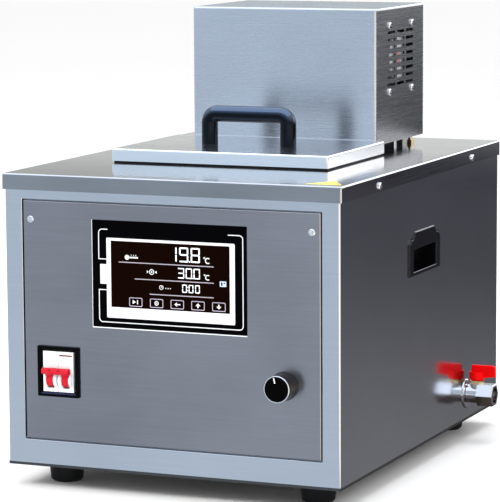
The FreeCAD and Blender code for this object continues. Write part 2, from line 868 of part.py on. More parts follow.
def cover_seal():
    """A rubber ring that closes the gap under the motor housing, inside the stand-offs."""
    body = new_body("cover_seal")
    ring = new_sketch(body, offset="deck_top")
    rectangle(ring, "cover_x - 81", "cover_y - 56", "cover_x + 83", "cover_y + 60")
    rectangle(ring, "cover_x - 73", "cover_y - 48", "cover_x + 75", "cover_y + 52")
    pad(body, ring, "cover_low - deck_top")
    corner = lambda at: near(at.y, "cover_y - 56") or near(at.y, "cover_y + 60")
    soften(body, "4", lambda at, along: upright(along) and corner(at))
    return node(body)


def pump_motor():
    body = new_body("pump_motor")
    floor = "cover_low + 2*deck_sheet"
    bore = "shaft_radius + 0.05"
    turned(body, [
        (bore, "0"), ("motor_radius + 6", "0"), ("motor_radius + 6", "4"), ("motor_radius", "4"),
        ("motor_radius", "74"), ("30", "82"), ("14", "82"), ("14", "90"), (bore, "90"),
    ])
    for low, high in (("12", "28"), ("34", "44"), ("50", "66")):
        grooved(body, "motor_radius - 2", low, "motor_radius + 1", high)
    return node(place(body, "pump_x", "cover_y", floor))


def pump_tube():
    body = new_body("pump_tube")
    turned(body, [
        ("tube_radius - 1.5", "tube_low - deck_top"), ("tube_radius", "tube_low - deck_top"),
        ("tube_radius", "0"), ("tube_radius + 11", "0"), ("tube_radius + 11", "3"),
        ("tube_radius - 1.5", "3"),
    ])
    window = new_sketch(body, "XZ_Plane")
    centred(window, "0", "-52", "22", "26")
    pocket(body, window, "3*tube_radius", both_ways=True)
    return node(place(body, "pump_x", "cover_y", "deck_top"))


def pump_shaft():
    return node(cylinder("pump_shaft", "shaft_radius", "cover_low + 2*deck_sheet + 96 - tube_low - 6",
                         ("pump_x", "cover_y", "tube_low + 6")))


def pump_impeller():
    """Four flat blades on a hub that the shaft is held in."""
    height = "12"
    hub = cylinder("impeller_hub", "8", height, ("0", "0", "0"))
    blades = []
    for turn in (0, 90):
        blade = doc.addObject("Part::Box", f"impeller_blade_{turn}")
        bind(blade, "Length", "2*(tube_radius - 3)")
        bind(blade, "Width", "2")
        bind(blade, "Height", height)
        spin = Rotation(Vector(0, 0, 1), turn)
        corner = spin.multVec(Vector(value("3 - tube_radius"), -1, 0))
        blade.Placement = FreeCAD.Placement(corner, spin)
        blades.append(blade)
    whole = fuse("impeller_solid", [hub] + blades)
    bore = cylinder("impeller_bore", "shaft_radius + 0.02", "20", ("0", "0", "-4"))
    return node(place(cut("pump_impeller", whole, [bore]), "pump_x", "cover_y", "tube_low + 10"))


def fan_frame():
    body = new_body("fan_frame")
    pad(body, centred(new_sketch(body), "0", "0", "fan_size", "fan_size"), "fan_depth")
    soften(body, "5", lambda at, along: upright(along))
    holes = circle(new_sketch(body, offset="fan_depth"), "fan_size/2 - 2.5")
    for sy in ("-", ""):
        for sz in ("-", ""):
            circle(holes, "2.2", f"{sy}fan_pitch/2", f"{sz}fan_pitch/2")
    pocket(body, holes, "fan_depth")
    spider = new_sketch(body)
    centred(spider, "0", "0", "fan_size - 4", "4")
    pad(body, spider, "3")
    spider = new_sketch(body)
    centred(spider, "0", "0", "4", "fan_size - 4")
    pad(body, spider, "3")
    pad(body, circle(new_sketch(body), "fan_hub_radius - 2"), "3")
    pad(body, circle(new_sketch(body, offset="3"), "2"), "15")
    back = "cover_x + cover_width/2 - sheet - fan_depth"
    return node(place(body, back, "cover_y", "fan_z", "right"))


def fan_rotor():
    """Seven pitched blades round a hub, on the frame's axle."""
    hub = cylinder("fan_hub", "fan_hub_radius", "19", ("0", "0", "4"))
    blades = []
    for count in range(7):
        blade = doc.addObject("Part::Box", f"fan_blade_{count}")
        bind(blade, "Length", "fan_size/2 - 4 - (fan_hub_radius - 2)")
        bind(blade, "Width", "19")
        bind(blade, "Height", "1.2")
        about = Rotation(Vector(0, 0, 1), count * 360 / 7)
        pitch = Rotation(Vector(1, 0, 0), 38)
        root = Vector(value("fan_hub_radius - 2"), 0, 13.5)
        corner = about.multVec(root + pitch.multVec(Vector(0, -9.5, -0.6)))
        blade.Placement = FreeCAD.Placement(corner, about.multiply(pitch))
        blades.append(blade)
    whole = fuse("fan_solid", [hub] + blades)
    bore = cylinder("fan_bore", "2.05", "15.5", ("0", "0", "3"))
    back = "cover_x + cover_width/2 - sheet - fan_depth"
    return node(place(cut("fan_rotor", whole, [bore]), back, "cover_y", "fan_z", "right"))


def fan_screws():
    screw = pan_screw("fan_screw", "2", "28")
    side = "cover_x + cover_width/2"
    places = []
    for sy in "-+":
        for sz in "-+":
            places.append((side, f"cover_y {sy} fan_pitch/2", f"fan_z {sz} fan_pitch/2", "right"))
    return node(copies("fan_screws", screw, places))


def heater_element():
    """A metal-sheathed element bent into two hanging loops, with both ends above the deck."""
    body = new_body("heater_element")
    first, pitch = "heater_first", "heater_pitch"
    stops = [first] + [f"{first} + {count}*{pitch}" for count in (1, 2, 3)]
    ends = "cover_low + 22"
    path = new_sketch(body, "YZ_Plane", "heater_x")
    bent_path(path, [
        (stops[0], ends), (stops[0], "heater_low"), (stops[1], "heater_low"), (stops[1], "heater_high"),
        (stops[2], "heater_high"), (stops[2], "heater_low"), (stops[3], "heater_low"), (stops[3], ends),
    ], "12")
    start = circle(new_sketch(body, offset=ends), "heater_radius", "heater_x", stops[0])
    swept(body, start, path)
    node(body)
    nut = new_body("heater_nut")
    pad(nut, circle(hexagon(new_sketch(nut), "14"), "heater_radius + 0.2"), "6")
    places = [("heater_x", y, "deck_top", "up") for y in (stops[0], stops[3])]
    return node(copies("heater_nuts", nut, places))


def temperature_probe():
    node(cylinder("temperature_probe", "2", "cover_low + 8 - 160", ("probe_x", "probe_y", "160")))
    body = new_body("probe_gland")
    hexagonal = circle(hexagon(new_sketch(body), "8.5"), "2.15")
    pad(body, hexagonal, "4")
    collar = circle(circle(new_sketch(body, offset="4"), "3.4"), "2.15")
    pad(body, collar, "2.2")
    return node(place(body, "probe_x", "probe_y", "deck_top"))


# ---------------------------------------------------------------- front controls


def display():
    body = new_body("display_overlay")
    film = new_sketch(body, "XZ_Plane", "body_depth/2")
    rectangle(film, "-overlay_width/2", "overlay_low", "overlay_width/2", "overlay_high")
    pad(body, film, "overlay_sheet")
    soften(body, "overlay_corner", lambda at, along: abs(along.y) > 0.999)
    node(body)
    middle = "(overlay_low + overlay_high)/2"
    corner = ("-58", "0.2 - body_depth/2", f"{middle} - 34")
    glass = box("display_glass", corner, ("116", "4.8", "68"))
    corner = ("-74", "4.5 - body_depth/2", f"{middle} - 46")
    board = box("display_board", corner, ("148", "1.6", "92"))
    parts = [glass, board]
    for x in ("-66", "58"):
        for z in ("-42", "34"):
            corner = (x, "6 - body_depth/2", f"{middle} + {z}")
            parts.append(box("display_block", corner, ("8", "5", "8")))
    node(fuse("display_module", parts))


def control_board():
    y = "-body_depth/2 + 24"
    parts = [box("board", ("-80", y, "185"), ("160", "1.6", "100"))]
    for x, z, width, height, deep in (
        ("-74", "250", "36", "26", "22"), ("-30", "255", "22", "22", "14"),
        ("0", "200", "40", "30", "9"), ("52", "262", "20", "14", "16"),
        ("52", "190", "22", "60", "11"), ("-74", "190", "60", "9", "12"),
    ):
        parts.append(box("board_part", (x, f"{y} + 1.5", z), (width, deep, height)))
    return node(fuse("control_board", parts))


def breaker_bezel():
    """A shallow frame whose inner faces slope back to the breaker."""
    body = new_body("breaker_bezel")
    pad(body, centred(new_sketch(body), "0", "0", "bezel_width", "bezel_height"), "bezel_proud")
    soften(body, "1", lambda at, along: near(at.z, "bezel_proud") or upright(along))
    lip = centred(new_sketch(body), "0", "0", "breaker_width + 3", "nose_height + 3")
    pad(body, lip, "sheet + bezel_lip", backwards=True)
    mouth = new_sketch(body, offset="bezel_proud")
    centred(mouth, "0", "0", "bezel_width - 6", "bezel_height - 6")
    throat = new_sketch(body, offset="-1.2")
    centred(throat, "0", "0", "breaker_width + 0.4", "nose_height + 0.4")
    slope = feature(body, "SubtractiveLoft", "slope")
    slope.Profile = mouth
    slope.Sections = [throat]
    doc.recompute()
    through = centred(new_sketch(body), "0", "0", "breaker_width + 0.4", "nose_height + 0.4")
    pocket(body, through, "5")
    return node(place(body, "breaker_x", "-body_depth/2", "breaker_z", "front"))


def breaker_body():
    """A two-pole breaker: a wide body behind the panel and a nose that comes through it."""
    nose = box("breaker_nose", ("-breaker_width/2", "-nose_height/2", "-12"),
               ("breaker_width", "nose_height", "14"))
    block = box("breaker_block", ("-breaker_width/2", "-breaker_height/2", "-66"),
                ("breaker_width", "breaker_height", "60"))
    whole = fuse("breaker_solid", [nose, block])
    tools = []
    for sign in ("-", ""):
        start = f"{sign}pole_pitch/2 - toggle_width/2 - 0.4"
        slot = cylinder("breaker_slot", "toggle_barrel + slot_play", "toggle_width + 0.8",
                        (start, "-toggle_drop", "2 - toggle_back"), "right")
        tools.append(slot)
    seam = box("breaker_seam", ("-0.3", "-nose_height/2", "1.2"), ("0.6", "nose_height", "2"))
    tools.append(seam)
    whole = cut("breaker_body", whole, tools)
    return node(place(whole, "breaker_x", "-body_depth/2 + sheet - 1", "breaker_z", "front"))


def breaker_toggle():
    """Two toggles joined by a tie bar, drawn about their pivot with +Y forward and up."""
    angle = math.degrees(math.atan2(value("tie_rise"), value("tie_forward")))
    reach = math.hypot(value("tie_rise"), value("tie_forward"))
    shapes = []
    for sign in ("-", ""):
        left = f"{sign}pole_pitch/2 - toggle_width/2"
        barrel = cylinder("toggle_barrel", "toggle_barrel", "toggle_width", (left, "0", "0"), "right")
        shapes.append(barrel)
        leg = doc.addObject("Part::Box", "toggle_leg")
        bind(leg, "Length", "toggle_width")
        bind(leg, "Width", "5.4")
        leg.Height = reach
        tilt = Rotation(Vector(1, 0, 0), -angle)
        corner = tilt.multVec(Vector(0, -2.7, 0))
        leg.Placement = FreeCAD.Placement(Vector(value(left), corner.y, corner.z), tilt)
        shapes.append(leg)
    shapes.append(cylinder("toggle_tie", "tie_radius", "tie_length",
                           ("-tie_length/2", "tie_rise", "tie_forward"), "right"))
    whole = fuse("breaker_toggle", shapes)
    return node(place(whole, "breaker_x", "-body_depth/2 + sheet - 1 - 2 + toggle_back",
                      "breaker_z - toggle_drop", "front"))


def speed_knob():
    body = new_body("speed_knob")
    gap, top = "knob_gap", "knob_height"
    turned(body, [
        ("0", f"{gap} + 12"), ("pot_shaft_radius + 0.02", f"{gap} + 12"),
        ("pot_shaft_radius + 0.02", "7"), ("pot_bush_radius + 3.5", "7"),
        ("pot_bush_radius + 3.5", gap), ("knob_radius", gap), ("knob_radius", "3.4"),
        ("knob_face_radius + 0.4", "4.4"), ("knob_face_radius", top),
        ("knob_face_radius - 1.6", top), ("knob_face_radius - 1.6", f"{top} - 0.6"),
        ("0", f"{top} - 0.6"),
    ])
    soften(body, "0.7", lambda at, along: near(at.z, top)
           and math.hypot(at.x, at.y) > value("knob_face_radius - 0.1"))
    node(place(body, "knob_x", "-body_depth/2", "knob_z", "front"))
    cap = new_body("knob_cap")
    pad(cap, circle(new_sketch(cap), "knob_face_radius - 1.7"), "0.7")
    return node(place(cap, "knob_x", "-body_depth/2 - knob_height + 0.6", "knob_z", "front"))


def potentiometer():
    """The speed control behind the panel, its nut in front, and the shaft that turns with the knob."""
    body = new_body("potentiometer")
    bore = "pot_shaft_radius + 0.05"
    can = "-sheet - 0.2"
    turned(body, [
        (bore, f"{can} - 10"), ("8.5", f"{can} - 10"), ("8.5", can), ("pot_bush_radius", can),
        ("pot_bush_radius", "5.6"), (bore, "5.6"),
    ])
    node(place(body, "knob_x", "-body_depth/2", "knob_z", "front"))
    nut = new_body("potentiometer_nut")
    pad(nut, circle(hexagon(new_sketch(nut), "12"), "pot_bush_radius + 0.05"), "2.4")
    node(place(nut, "knob_x", "-body_depth/2", "knob_z", "front"))
    back = ("knob_x", "-body_depth/2 + 10.6", "knob_z")
    return node(cylinder("knob_shaft", "pot_shaft_radius", "23", back, "front"))


# ---------------------------------------------------------------- side handles


def carry_handle(label, side, facing):
    """A moulded cup with a stepped outline, a grip flap above and a finger pocket below."""
    body = new_body(label)
    half, shoulder = "49.5", "30.5"
    outline = [
        (f"-{half}", "-24"), (half, "-24"), (half, "12"), (f"{half} - 6", "15.5"),
        (f"{shoulder} + 7", "16.5"), (shoulder, "23.7"), (f"-{shoulder}", "23.7"),
        (f"-{shoulder} - 7", "16.5"), (f"6 - {half}", "15.5"), (f"-{half}", "12"),
    ]
    pad(body, polygon(new_sketch(body), outline), "1.8")
    soften(body, "0.8", lambda at, along: near(at.z, "1.8"))
    cup = centred(new_sketch(body), "0", "-2.4", "88", "38")
    pad(body, cup, "24", backwards=True)
    soften(body, "4", lambda at, along: near(at.z, "-24"))
    mouth = rectangle(new_sketch(body, offset="1.8"), "-37.5", "-19.5", "37.5", "5")
    pocket(body, mouth, "23.8")
    above = rectangle(new_sketch(body, offset="-3"), "-37.5", "3", "37.5", "14.5")
    pocket(body, above, "19")
    soften(body, "1.2", lambda at, along: near(at.z, "1.8") and abs(at.x) < 38 and -20 < at.y < 6)
    return node(place(body, side, "handle_y", "handle_z", facing))


# ---------------------------------------------------------------- drain


def drain_flange():
    body = new_body("drain_flange")
    turned(body, [("9.6", "0"), ("17", "0"), ("17", "0.8"), ("16", "1.5"), ("9.6", "1.5")])
    return node(place(body, "body_width/2", "drain_y", "drain_z", "right"))


def drain_valve_body():
    """A small ball valve: round barrel, hexagonal outlet end and a boss for the stem."""
    body = new_body("drain_valve_body")
    start, waist = "-24", "15.5"
    end = "drain_end - body_width/2"
    turned(body, [
        ("0", start), ("9.3", start), ("9.3", "1.6"), ("10.4", "2"), ("10.4", waist), ("0", waist),
    ])
    pad(body, hexagon(new_sketch(body, offset=f"{waist} - 0.5"), "24.4"), f"{end} - {waist} + 0.5")
    soften(body, "1", lambda at, along: near(at.z, end), "Chamfer")
    boss = circle(new_sketch(body, "XZ_Plane"), "8", "0", "drain_stem_x - body_width/2")
    pad(body, boss, "12.5", backwards=True)
    middle = "drain_stem_x - body_width/2"
    half = "(ball_radius + 1.6)"
    grooved(body, "0", f"{middle} - {half}", "ball_radius + 0.4", f"{middle} + {half}")
    pocket(body, circle(new_sketch(body, offset=end), "drain_bore"), f"{end} - ({start})")
    pocket(body, circle(new_sketch(body, offset=end), "outlet_radius"), "outlet_depth")
    stem = circle(new_sketch(body, "XZ_Plane", "-13"), "3.05", "0", middle)
    pocket(body, stem, "10", backwards=True)
    return node(place(body, "body_width/2", "drain_y", "drain_z", "right"))


def drain_seats():
    seat = new_body("seat")
    pad(seat, circle(circle(new_sketch(seat), "ball_radius + 0.2"), "drain_bore + 0.2"), "1.4")
    middle = "drain_stem_x"
    places = [
        (f"{middle} + ball_radius + 0.1", "drain_y", "drain_z", "right"),
        (f"{middle} - ball_radius - 0.1", "drain_y", "drain_z", "left"),
    ]
    return node(copies("drain_seats", seat, places))


def drain_ball():
    ball = doc.addObject("Part::Sphere", "ball_solid")
    bind(ball, "Radius", "ball_radius")
    bore = cylinder("ball_bore", "drain_bore", "4*ball_radius", ("-2*ball_radius", "0", "0"), "right")
    flat = box("ball_flat", ("-10", "-10", "ball_radius - 0.9"), ("20", "20", "4"))
    return node(place(cut("drain_ball", ball, [bore, flat]), "drain_stem_x", "drain_y", "drain_z"))


def drain_stem():
    low = "drain_z + ball_radius - 0.9"
    stem = cylinder("drain_stem", "3", "19", ("drain_stem_x", "drain_y", low))
    node(stem)
    nut = new_body("drain_gland_nut")
    pad(nut, circle(hexagon(new_sketch(nut), "15"), "3.08"), "4.4")
    soften(nut, "0.8", lambda at, along: near(at.z, "4.4") and math.hypot(at.x, at.y) > 4, "Chamfer")
    return node(place(nut, "drain_stem_x", "drain_y", "drain_z + 12.5"))


def drain_lever():
    """A short upright blade on a hub, pointing the way the valve is open."""
    body = new_body("drain_lever")
    pad(body, circle(new_sketch(body), "8.8"), "9")
    blade = new_sketch(body, "XZ_Plane", "2.6")
    polygon(blade, [
        ("-8.2", "3.4"), ("-8.8", "7.6"), ("-6.8", "9"), ("-5.8", "16.6"), ("19.5", "16.6"),
        ("22.4", "15"), ("22.4", "3.8"), ("8", "2.4"),
    ])
    pad(body, blade, "5.2", backwards=True)
    soften(body, "1.2", lambda at, along: near(abs(at.y), "2.6") and at.z > 9.1)
    pocket(body, circle(new_sketch(body, offset="8.2"), "3.02"), "8.2")
    return node(place(body, "drain_stem_x", "drain_y", "drain_z + 17.4"))


def drain_pipe():
    body = new_body("drain_pipe")
    path = new_sketch(body, "XZ_Plane", "-drain_y")
    top, start = "tank_floor", "body_width/2 - 24"
    bent_path(path, [("drain_drop_x", top), ("drain_drop_x", "drain_z"), (start, "drain_z")], "24")
    ring = circle(circle(new_sketch(body, offset=top), "8", "drain_drop_x", "drain_y"), "6.5",
                  "drain_drop_x", "drain_y")
    swept(body, ring, path)
    return node(body)


# ---------------------------------------------------------------- feet, inlet and electrics


def feet():
    screw = pan_screw("foot_screw", "2.5", "10")
    places = []
    for name, x, y in (
        ("foot_front_left", "-foot_x", "-foot_y"), ("foot_front_right", "foot_x", "-foot_y"),
        ("foot_rear_left", "-foot_x", "foot_y"), ("foot_rear_right", "foot_x", "foot_y"),
    ):
        body = new_body(name)
        turned(body, [
            ("2.8", "9"), ("6.5", "9"), ("6.5", "0"), ("foot_tip_radius - 2.5", "0"),
            ("foot_tip_radius", "2.5"), ("foot_radius", "foot_height"), ("2.8", "foot_height"),
        ])
        node(place(body, x, y))
        places.append((x, y, "9", "down"))
    node(copies("foot_screws", screw, places))


def power_inlet():
    """An appliance inlet for a detachable cord, seen from outside with its three pins."""
    body = new_body("power_inlet")
    pad(body, centred(new_sketch(body), "0", "0", "50", "24"), "2.6")
    soften(body, "2", lambda at, along: near(at.z, "2.6") or upright(along))
    pad(body, centred(new_sketch(body), "0", "0", "27.4", "20.4"), "20", backwards=True)
    cavity = polygon(new_sketch(body, offset="2.6"), [
        ("-12", "-8"), ("12", "-8"), ("12", "3.5"), ("7.5", "8"), ("-7.5", "8"), ("-12", "3.5"),
    ])
    pocket(body, cavity, "18")
    pins = new_sketch(body, offset="-16")
    for x, z in (("-7", "-4.6"), ("7", "-4.6"), ("0", "4.6")):
        centred(pins, x, z, "2", "4")
    pad(body, pins, "15")
    holes = new_sketch(body, offset="2.6")
    for x in ("-20", "20"):
        circle(holes, "1.7", x)
    pocket(body, holes, "5")
    node(place(body, "inlet_x", "body_depth/2", "inlet_z", "back"))
    screw = pan_screw("inlet_screw", "1.5", "7")
    places = [(f"inlet_x {sign} 20", "body_depth/2 + 2.6", "inlet_z", "back") for sign in "-+"]
    node(copies("inlet_screws", screw, places))


def solid_state_relay():
    x, z = "20", "70"
    block = box("relay_block", (x, "bulkhead_y - 24", z), ("45", "20", "58"))
    plate = box("relay_plate", ("12", "bulkhead_y - 4", "62"), ("61", "4", "74"))
    low = box("relay_low_terminal", ("22", "bulkhead_y - 28", "72"), ("41", "4", "10"))
    high = box("relay_high_terminal", ("22", "bulkhead_y - 28", "116"), ("41", "4", "10"))
    return node(fuse("solid_state_relay", [block, plate, low, high]))


def deck_label():
    """A plain triangular caution patch on the deck's front right corner."""
    body = new_body("deck_label")
    right, front = "body_width/2 - 2", "9.5 - body_depth/2"
    corners = [(right, front), (f"{right} - 20", f"{front} + 34.6"), (f"{right} - 40", front)]
    pad(body, polygon(new_sketch(body, offset="deck_top"), corners), "0.15")
    return node(body)


# ---------------------------------------------------------------- build and write


def build():
    fill_sheet()
    base_pan()
    body_shell()
    front_panel()
    rear_panel()
    deck_plate()
    housing_screws()
    tank()
    tank_insulation()
    bulkhead()
    lid()
    lid_gasket()
    lid_handle()
    motor_cover()
    pump_base_plate()
    base_plate_posts()
    cover_seal()
    pump_motor()
    pump_tube()
    pump_shaft()
    pump_impeller()
    fan_frame()
    fan_rotor()
    fan_screws()
    heater_element()
    temperature_probe()
    display()
    control_board()
    breaker_bezel()
    breaker_body()
    breaker_toggle()
    speed_knob()
    potentiometer()
    carry_handle("carry_handle_right", "body_width/2", "right")
    carry_handle("carry_handle_left", "-body_width/2", "left")
    drain_flange()
    drain_valve_body()
    drain_seats()
    drain_ball()
    drain_stem()
    drain_lever()
    drain_pipe()
    feet()
    power_inlet()
    solid_state_relay()
    deck_label()


def write():
    doc.recompute()
    for item in doc.Objects:
        if "Invalid" in item.State or "Error" in item.State:
            raise RuntimeError(f"{item.Label} failed: {item.State}")
    for item in nodes:
        if item.Shape.isNull() or not item.Shape.isValid():
            raise RuntimeError(f"{item.Label} has no valid shape")
    os.makedirs("parts", exist_ok=True)
    for item in nodes:
        item.Shape.exportStep(f"parts/{item.Label}.step")
    print(len(nodes), "sub-parts")


build()
write()
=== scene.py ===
"""Looks for the water bath: its materials, printed and moulded details, studio and camera."""

import json
import math

import bmesh
import bpy
from mathutils import Matrix, Vector


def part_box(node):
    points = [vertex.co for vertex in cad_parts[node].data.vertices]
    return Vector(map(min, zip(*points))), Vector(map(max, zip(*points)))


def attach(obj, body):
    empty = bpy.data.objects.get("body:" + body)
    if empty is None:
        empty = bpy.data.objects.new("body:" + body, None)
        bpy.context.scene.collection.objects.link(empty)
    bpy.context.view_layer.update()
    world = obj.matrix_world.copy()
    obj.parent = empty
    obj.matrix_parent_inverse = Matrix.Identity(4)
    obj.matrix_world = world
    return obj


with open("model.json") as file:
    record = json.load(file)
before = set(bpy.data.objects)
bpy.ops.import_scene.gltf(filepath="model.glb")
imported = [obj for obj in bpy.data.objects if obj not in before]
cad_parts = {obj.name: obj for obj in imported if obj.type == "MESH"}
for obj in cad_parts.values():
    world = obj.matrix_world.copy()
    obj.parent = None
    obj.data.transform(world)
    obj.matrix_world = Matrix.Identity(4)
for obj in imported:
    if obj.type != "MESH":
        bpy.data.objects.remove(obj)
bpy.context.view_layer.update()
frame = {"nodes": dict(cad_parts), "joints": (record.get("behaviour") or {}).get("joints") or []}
nodes = frame["nodes"]
scene = bpy.context.scene
MM = 0.001


# ---------------------------------------------------------------- materials

def add(tree, kind, inputs=None, **settings):
    """A shader node. A tuple (node, output) in inputs is linked, anything else is set as a value."""
    node = tree.nodes.new("ShaderNode" + kind)
    for key, value in settings.items():
        setattr(node, key, value)
    for key, value in (inputs or {}).items():
        if isinstance(value, tuple) and isinstance(value[0], bpy.types.Node):
            tree.links.new(value[0].outputs[value[1]], node.inputs[key])
        else:
            node.inputs[key].default_value = value
    return node


def new_material(name):
    made = bpy.data.materials.new(name)
    made.use_nodes = True
    made.node_tree.nodes.clear()
    return made, made.node_tree


def finish_material(made, tree, shader):
    add(tree, "OutputMaterial", {"Surface": (shader, 0)})
    return made


def colour(r, g, b):
    return (r, g, b, 1.0)


def stretched(tree, coords, scale, detail=2.0, rough=0.5):
    """Noise stretched by a scale for each axis, from the object's own coordinates."""
    mapping = add(tree, "Mapping", {"Vector": (coords, "Object"), "Scale": scale})
    return add(tree, "TexNoise", {"Vector": (mapping, 0), "Scale": 1.0, "Detail": detail,
                                  "Roughness": rough})


def pick(tree, chooser, low, high):
    """low where chooser is 0, high where it is 1."""
    return add(tree, "Mix", {0: chooser, 2: low, 3: high}, data_type="FLOAT")


def spread(tree, value, middle, reach):
    """value, from 0 to 1, moved to middle minus reach up to middle plus reach."""
    return add(tree, "MapRange", {"Value": value, "From Min": 0.25, "From Max": 0.75,
                                  "To Min": middle - reach, "To Max": middle + reach})


def product(tree, first, second):
    return add(tree, "Math", {0: (first, 0), 1: (second, 0)}, operation="MULTIPLY")


def within(tree, value, low, high):
    """1 where value lies between low and high, and 0 outside."""
    above = add(tree, "Math", {0: value, 1: low}, operation="GREATER_THAN")
    below = add(tree, "Math", {0: value, 1: high}, operation="LESS_THAN")
    return product(tree, above, below)


def facing(tree, normal, axis, least):
    """1 on faces that point along an axis, either way, and 0 elsewhere."""
    share = add(tree, "Math", {0: (normal, axis)}, operation="ABSOLUTE")
    return add(tree, "Math", {0: (share, 0), 1: least}, operation="GREATER_THAN")


STREAK_LENGTH, STREAK_WIDTH = 14, 900   # noise scales: low makes long streaks, high makes fine ones
CLOUDS = (7, 7, 9)


def brushed(name, tint, rough=0.2, grain=0.03, cloud=0.05, anisotropy=0.5, front_painted_light=1.0,
            side_painted_light=1.0, painted_slope=0.0, unevenness=0.12, painted_shade_box=None):
    """Brushed sheet steel: fine streaks, soft clouds in the tint, and a highlight stretched across
    the streaks. The front and side gains paint light and shade: they brighten or dim the faces that
    point along Y and along X. A gradient along X is painted light that brightens the sheet towards +X.
    The box given last paints shade: faces in it that don't point along X are nearly black."""
    made, tree = new_material(name)
    coords = add(tree, "TexCoord")
    normal = add(tree, "SeparateXYZ", {0: (coords, "Normal")})
    place = add(tree, "SeparateXYZ", {0: (coords, "Object")})
    on_top = facing(tree, normal, 2, 0.7)
    sides = stretched(tree, coords, (STREAK_LENGTH, STREAK_LENGTH, STREAK_WIDTH), 3.0, 0.6)
    tops = stretched(tree, coords, (STREAK_LENGTH, STREAK_WIDTH, STREAK_LENGTH), 3.0, 0.6)
    streak = pick(tree, (on_top, 0), (sides, 0), (tops, 0))
    patches = stretched(tree, coords, CLOUDS, 3.0, 0.5)
    gain = product(tree, spread(tree, (streak, 0), 1.0, grain), spread(tree, (patches, 0), 1.0, cloud))
    # Painted light and shade: faces that point along Y and along X are brightened or dimmed.
    for axis, painted_axis_gain in ((1, front_painted_light), (0, side_painted_light)):
        if painted_axis_gain != 1.0:
            share = pick(tree, (facing(tree, normal, axis, 0.85), 0), 1.0, painted_axis_gain)
            gain = product(tree, gain, share)
    # Painted light: the sheet brightens towards +X.
    if painted_slope:
        painted_lean = add(tree, "Math", {0: (place, 0), 1: painted_slope, 2: 1.0}, operation="MULTIPLY_ADD")
        gain = product(tree, gain, painted_lean)
    # Painted shade: inside the box, faces that don't point along X are nearly black.
    if painted_shade_box:
        painted_shade_mask = pick(tree, (facing(tree, normal, 0, 0.5), 0), 1.0, 0.0)
        for axis, (low, high) in enumerate(painted_shade_box):
            painted_shade_mask = product(tree, painted_shade_mask, within(tree, (place, axis), low, high))
        gain = product(tree, gain, pick(tree, (painted_shade_mask, 0), 1.0, 0.04))
    base = add(tree, "VectorMath", {0: tint[:3], "Scale": (gain, 0)}, operation="SCALE")
    roughness = spread(tree, (streak, 0), rough, rough * unevenness)
    across_side = add(tree, "CombineXYZ", {2: 1.0})
    across_top = add(tree, "CombineXYZ", {1: 1.0})
    direction = add(tree, "Mix", {0: (on_top, 0), 4: (across_side, 0), 5: (across_top, 0)},
                    data_type="VECTOR")
    bump = add(tree, "Bump", {"Height": (streak, 0), "Strength": 0.02, "Distance": 0.0002})
    shader = add(tree, "BsdfPrincipled", {
        "Base Color": (base, 0), "Metallic": 1.0, "Roughness": (roughness, 0),
        "Anisotropic": anisotropy, "Tangent": (direction, 1), "Normal": (bump, 0)})
    return finish_material(made, tree, shader)


def metal(name, tint, rough=0.2, wear=0.06, size=60):
    """Plain or plated metal with slight clouds in its polish."""
    made, tree = new_material(name)
    coords = add(tree, "TexCoord")
    clouds = stretched(tree, coords, (size, size, size), 3.0, 0.6)
    gain = spread(tree, (clouds, 0), 1.0, wear)
    base = add(tree, "VectorMath", {0: tint[:3], "Scale": (gain, 0)}, operation="SCALE")
    roughness = spread(tree, (clouds, 0), rough, rough * 0.3)
    shader = add(tree, "BsdfPrincipled", {
        "Base Color": (base, 0), "Metallic": 1.0, "Roughness": (roughness, 0)})
    return finish_material(made, tree, shader)


def plastic(name, tint, rough=0.3, mottle=0.04, size=90, specular=0.5, grit=0.0, glow=0.0):
    """Moulded plastic, paint or rubber: an even colour and a slightly uneven polish. grit adds a
    dull texture, and glow lights it."""
    made, tree = new_material(name)
    coords = add(tree, "TexCoord")
    clouds = stretched(tree, coords, (size, size, size), 3.0, 0.6)
    gain = spread(tree, (clouds, 0), 1.0, mottle)
    base = add(tree, "VectorMath", {0: tint[:3], "Scale": (gain, 0)}, operation="SCALE")
    roughness = spread(tree, (clouds, 0), rough, rough * 0.2)
    inputs = {"Base Color": (base, 0), "Roughness": (roughness, 0), "Specular IOR Level": specular}
    if grit:
        speckle = stretched(tree, coords, (2500, 2500, 2500), 2.0, 0.5)
        bump = add(tree, "Bump", {"Height": (speckle, 0), "Strength": grit, "Distance": 0.0002})
        inputs["Normal"] = (bump, 0)
    if glow:
        inputs["Emission Color"] = tint
        inputs["Emission Strength"] = glow
    shader = add(tree, "BsdfPrincipled", inputs)
    return finish_material(made, tree, shader)


cover_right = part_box("motor_cover")[1].x
vent_low, vent_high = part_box("fan_frame")
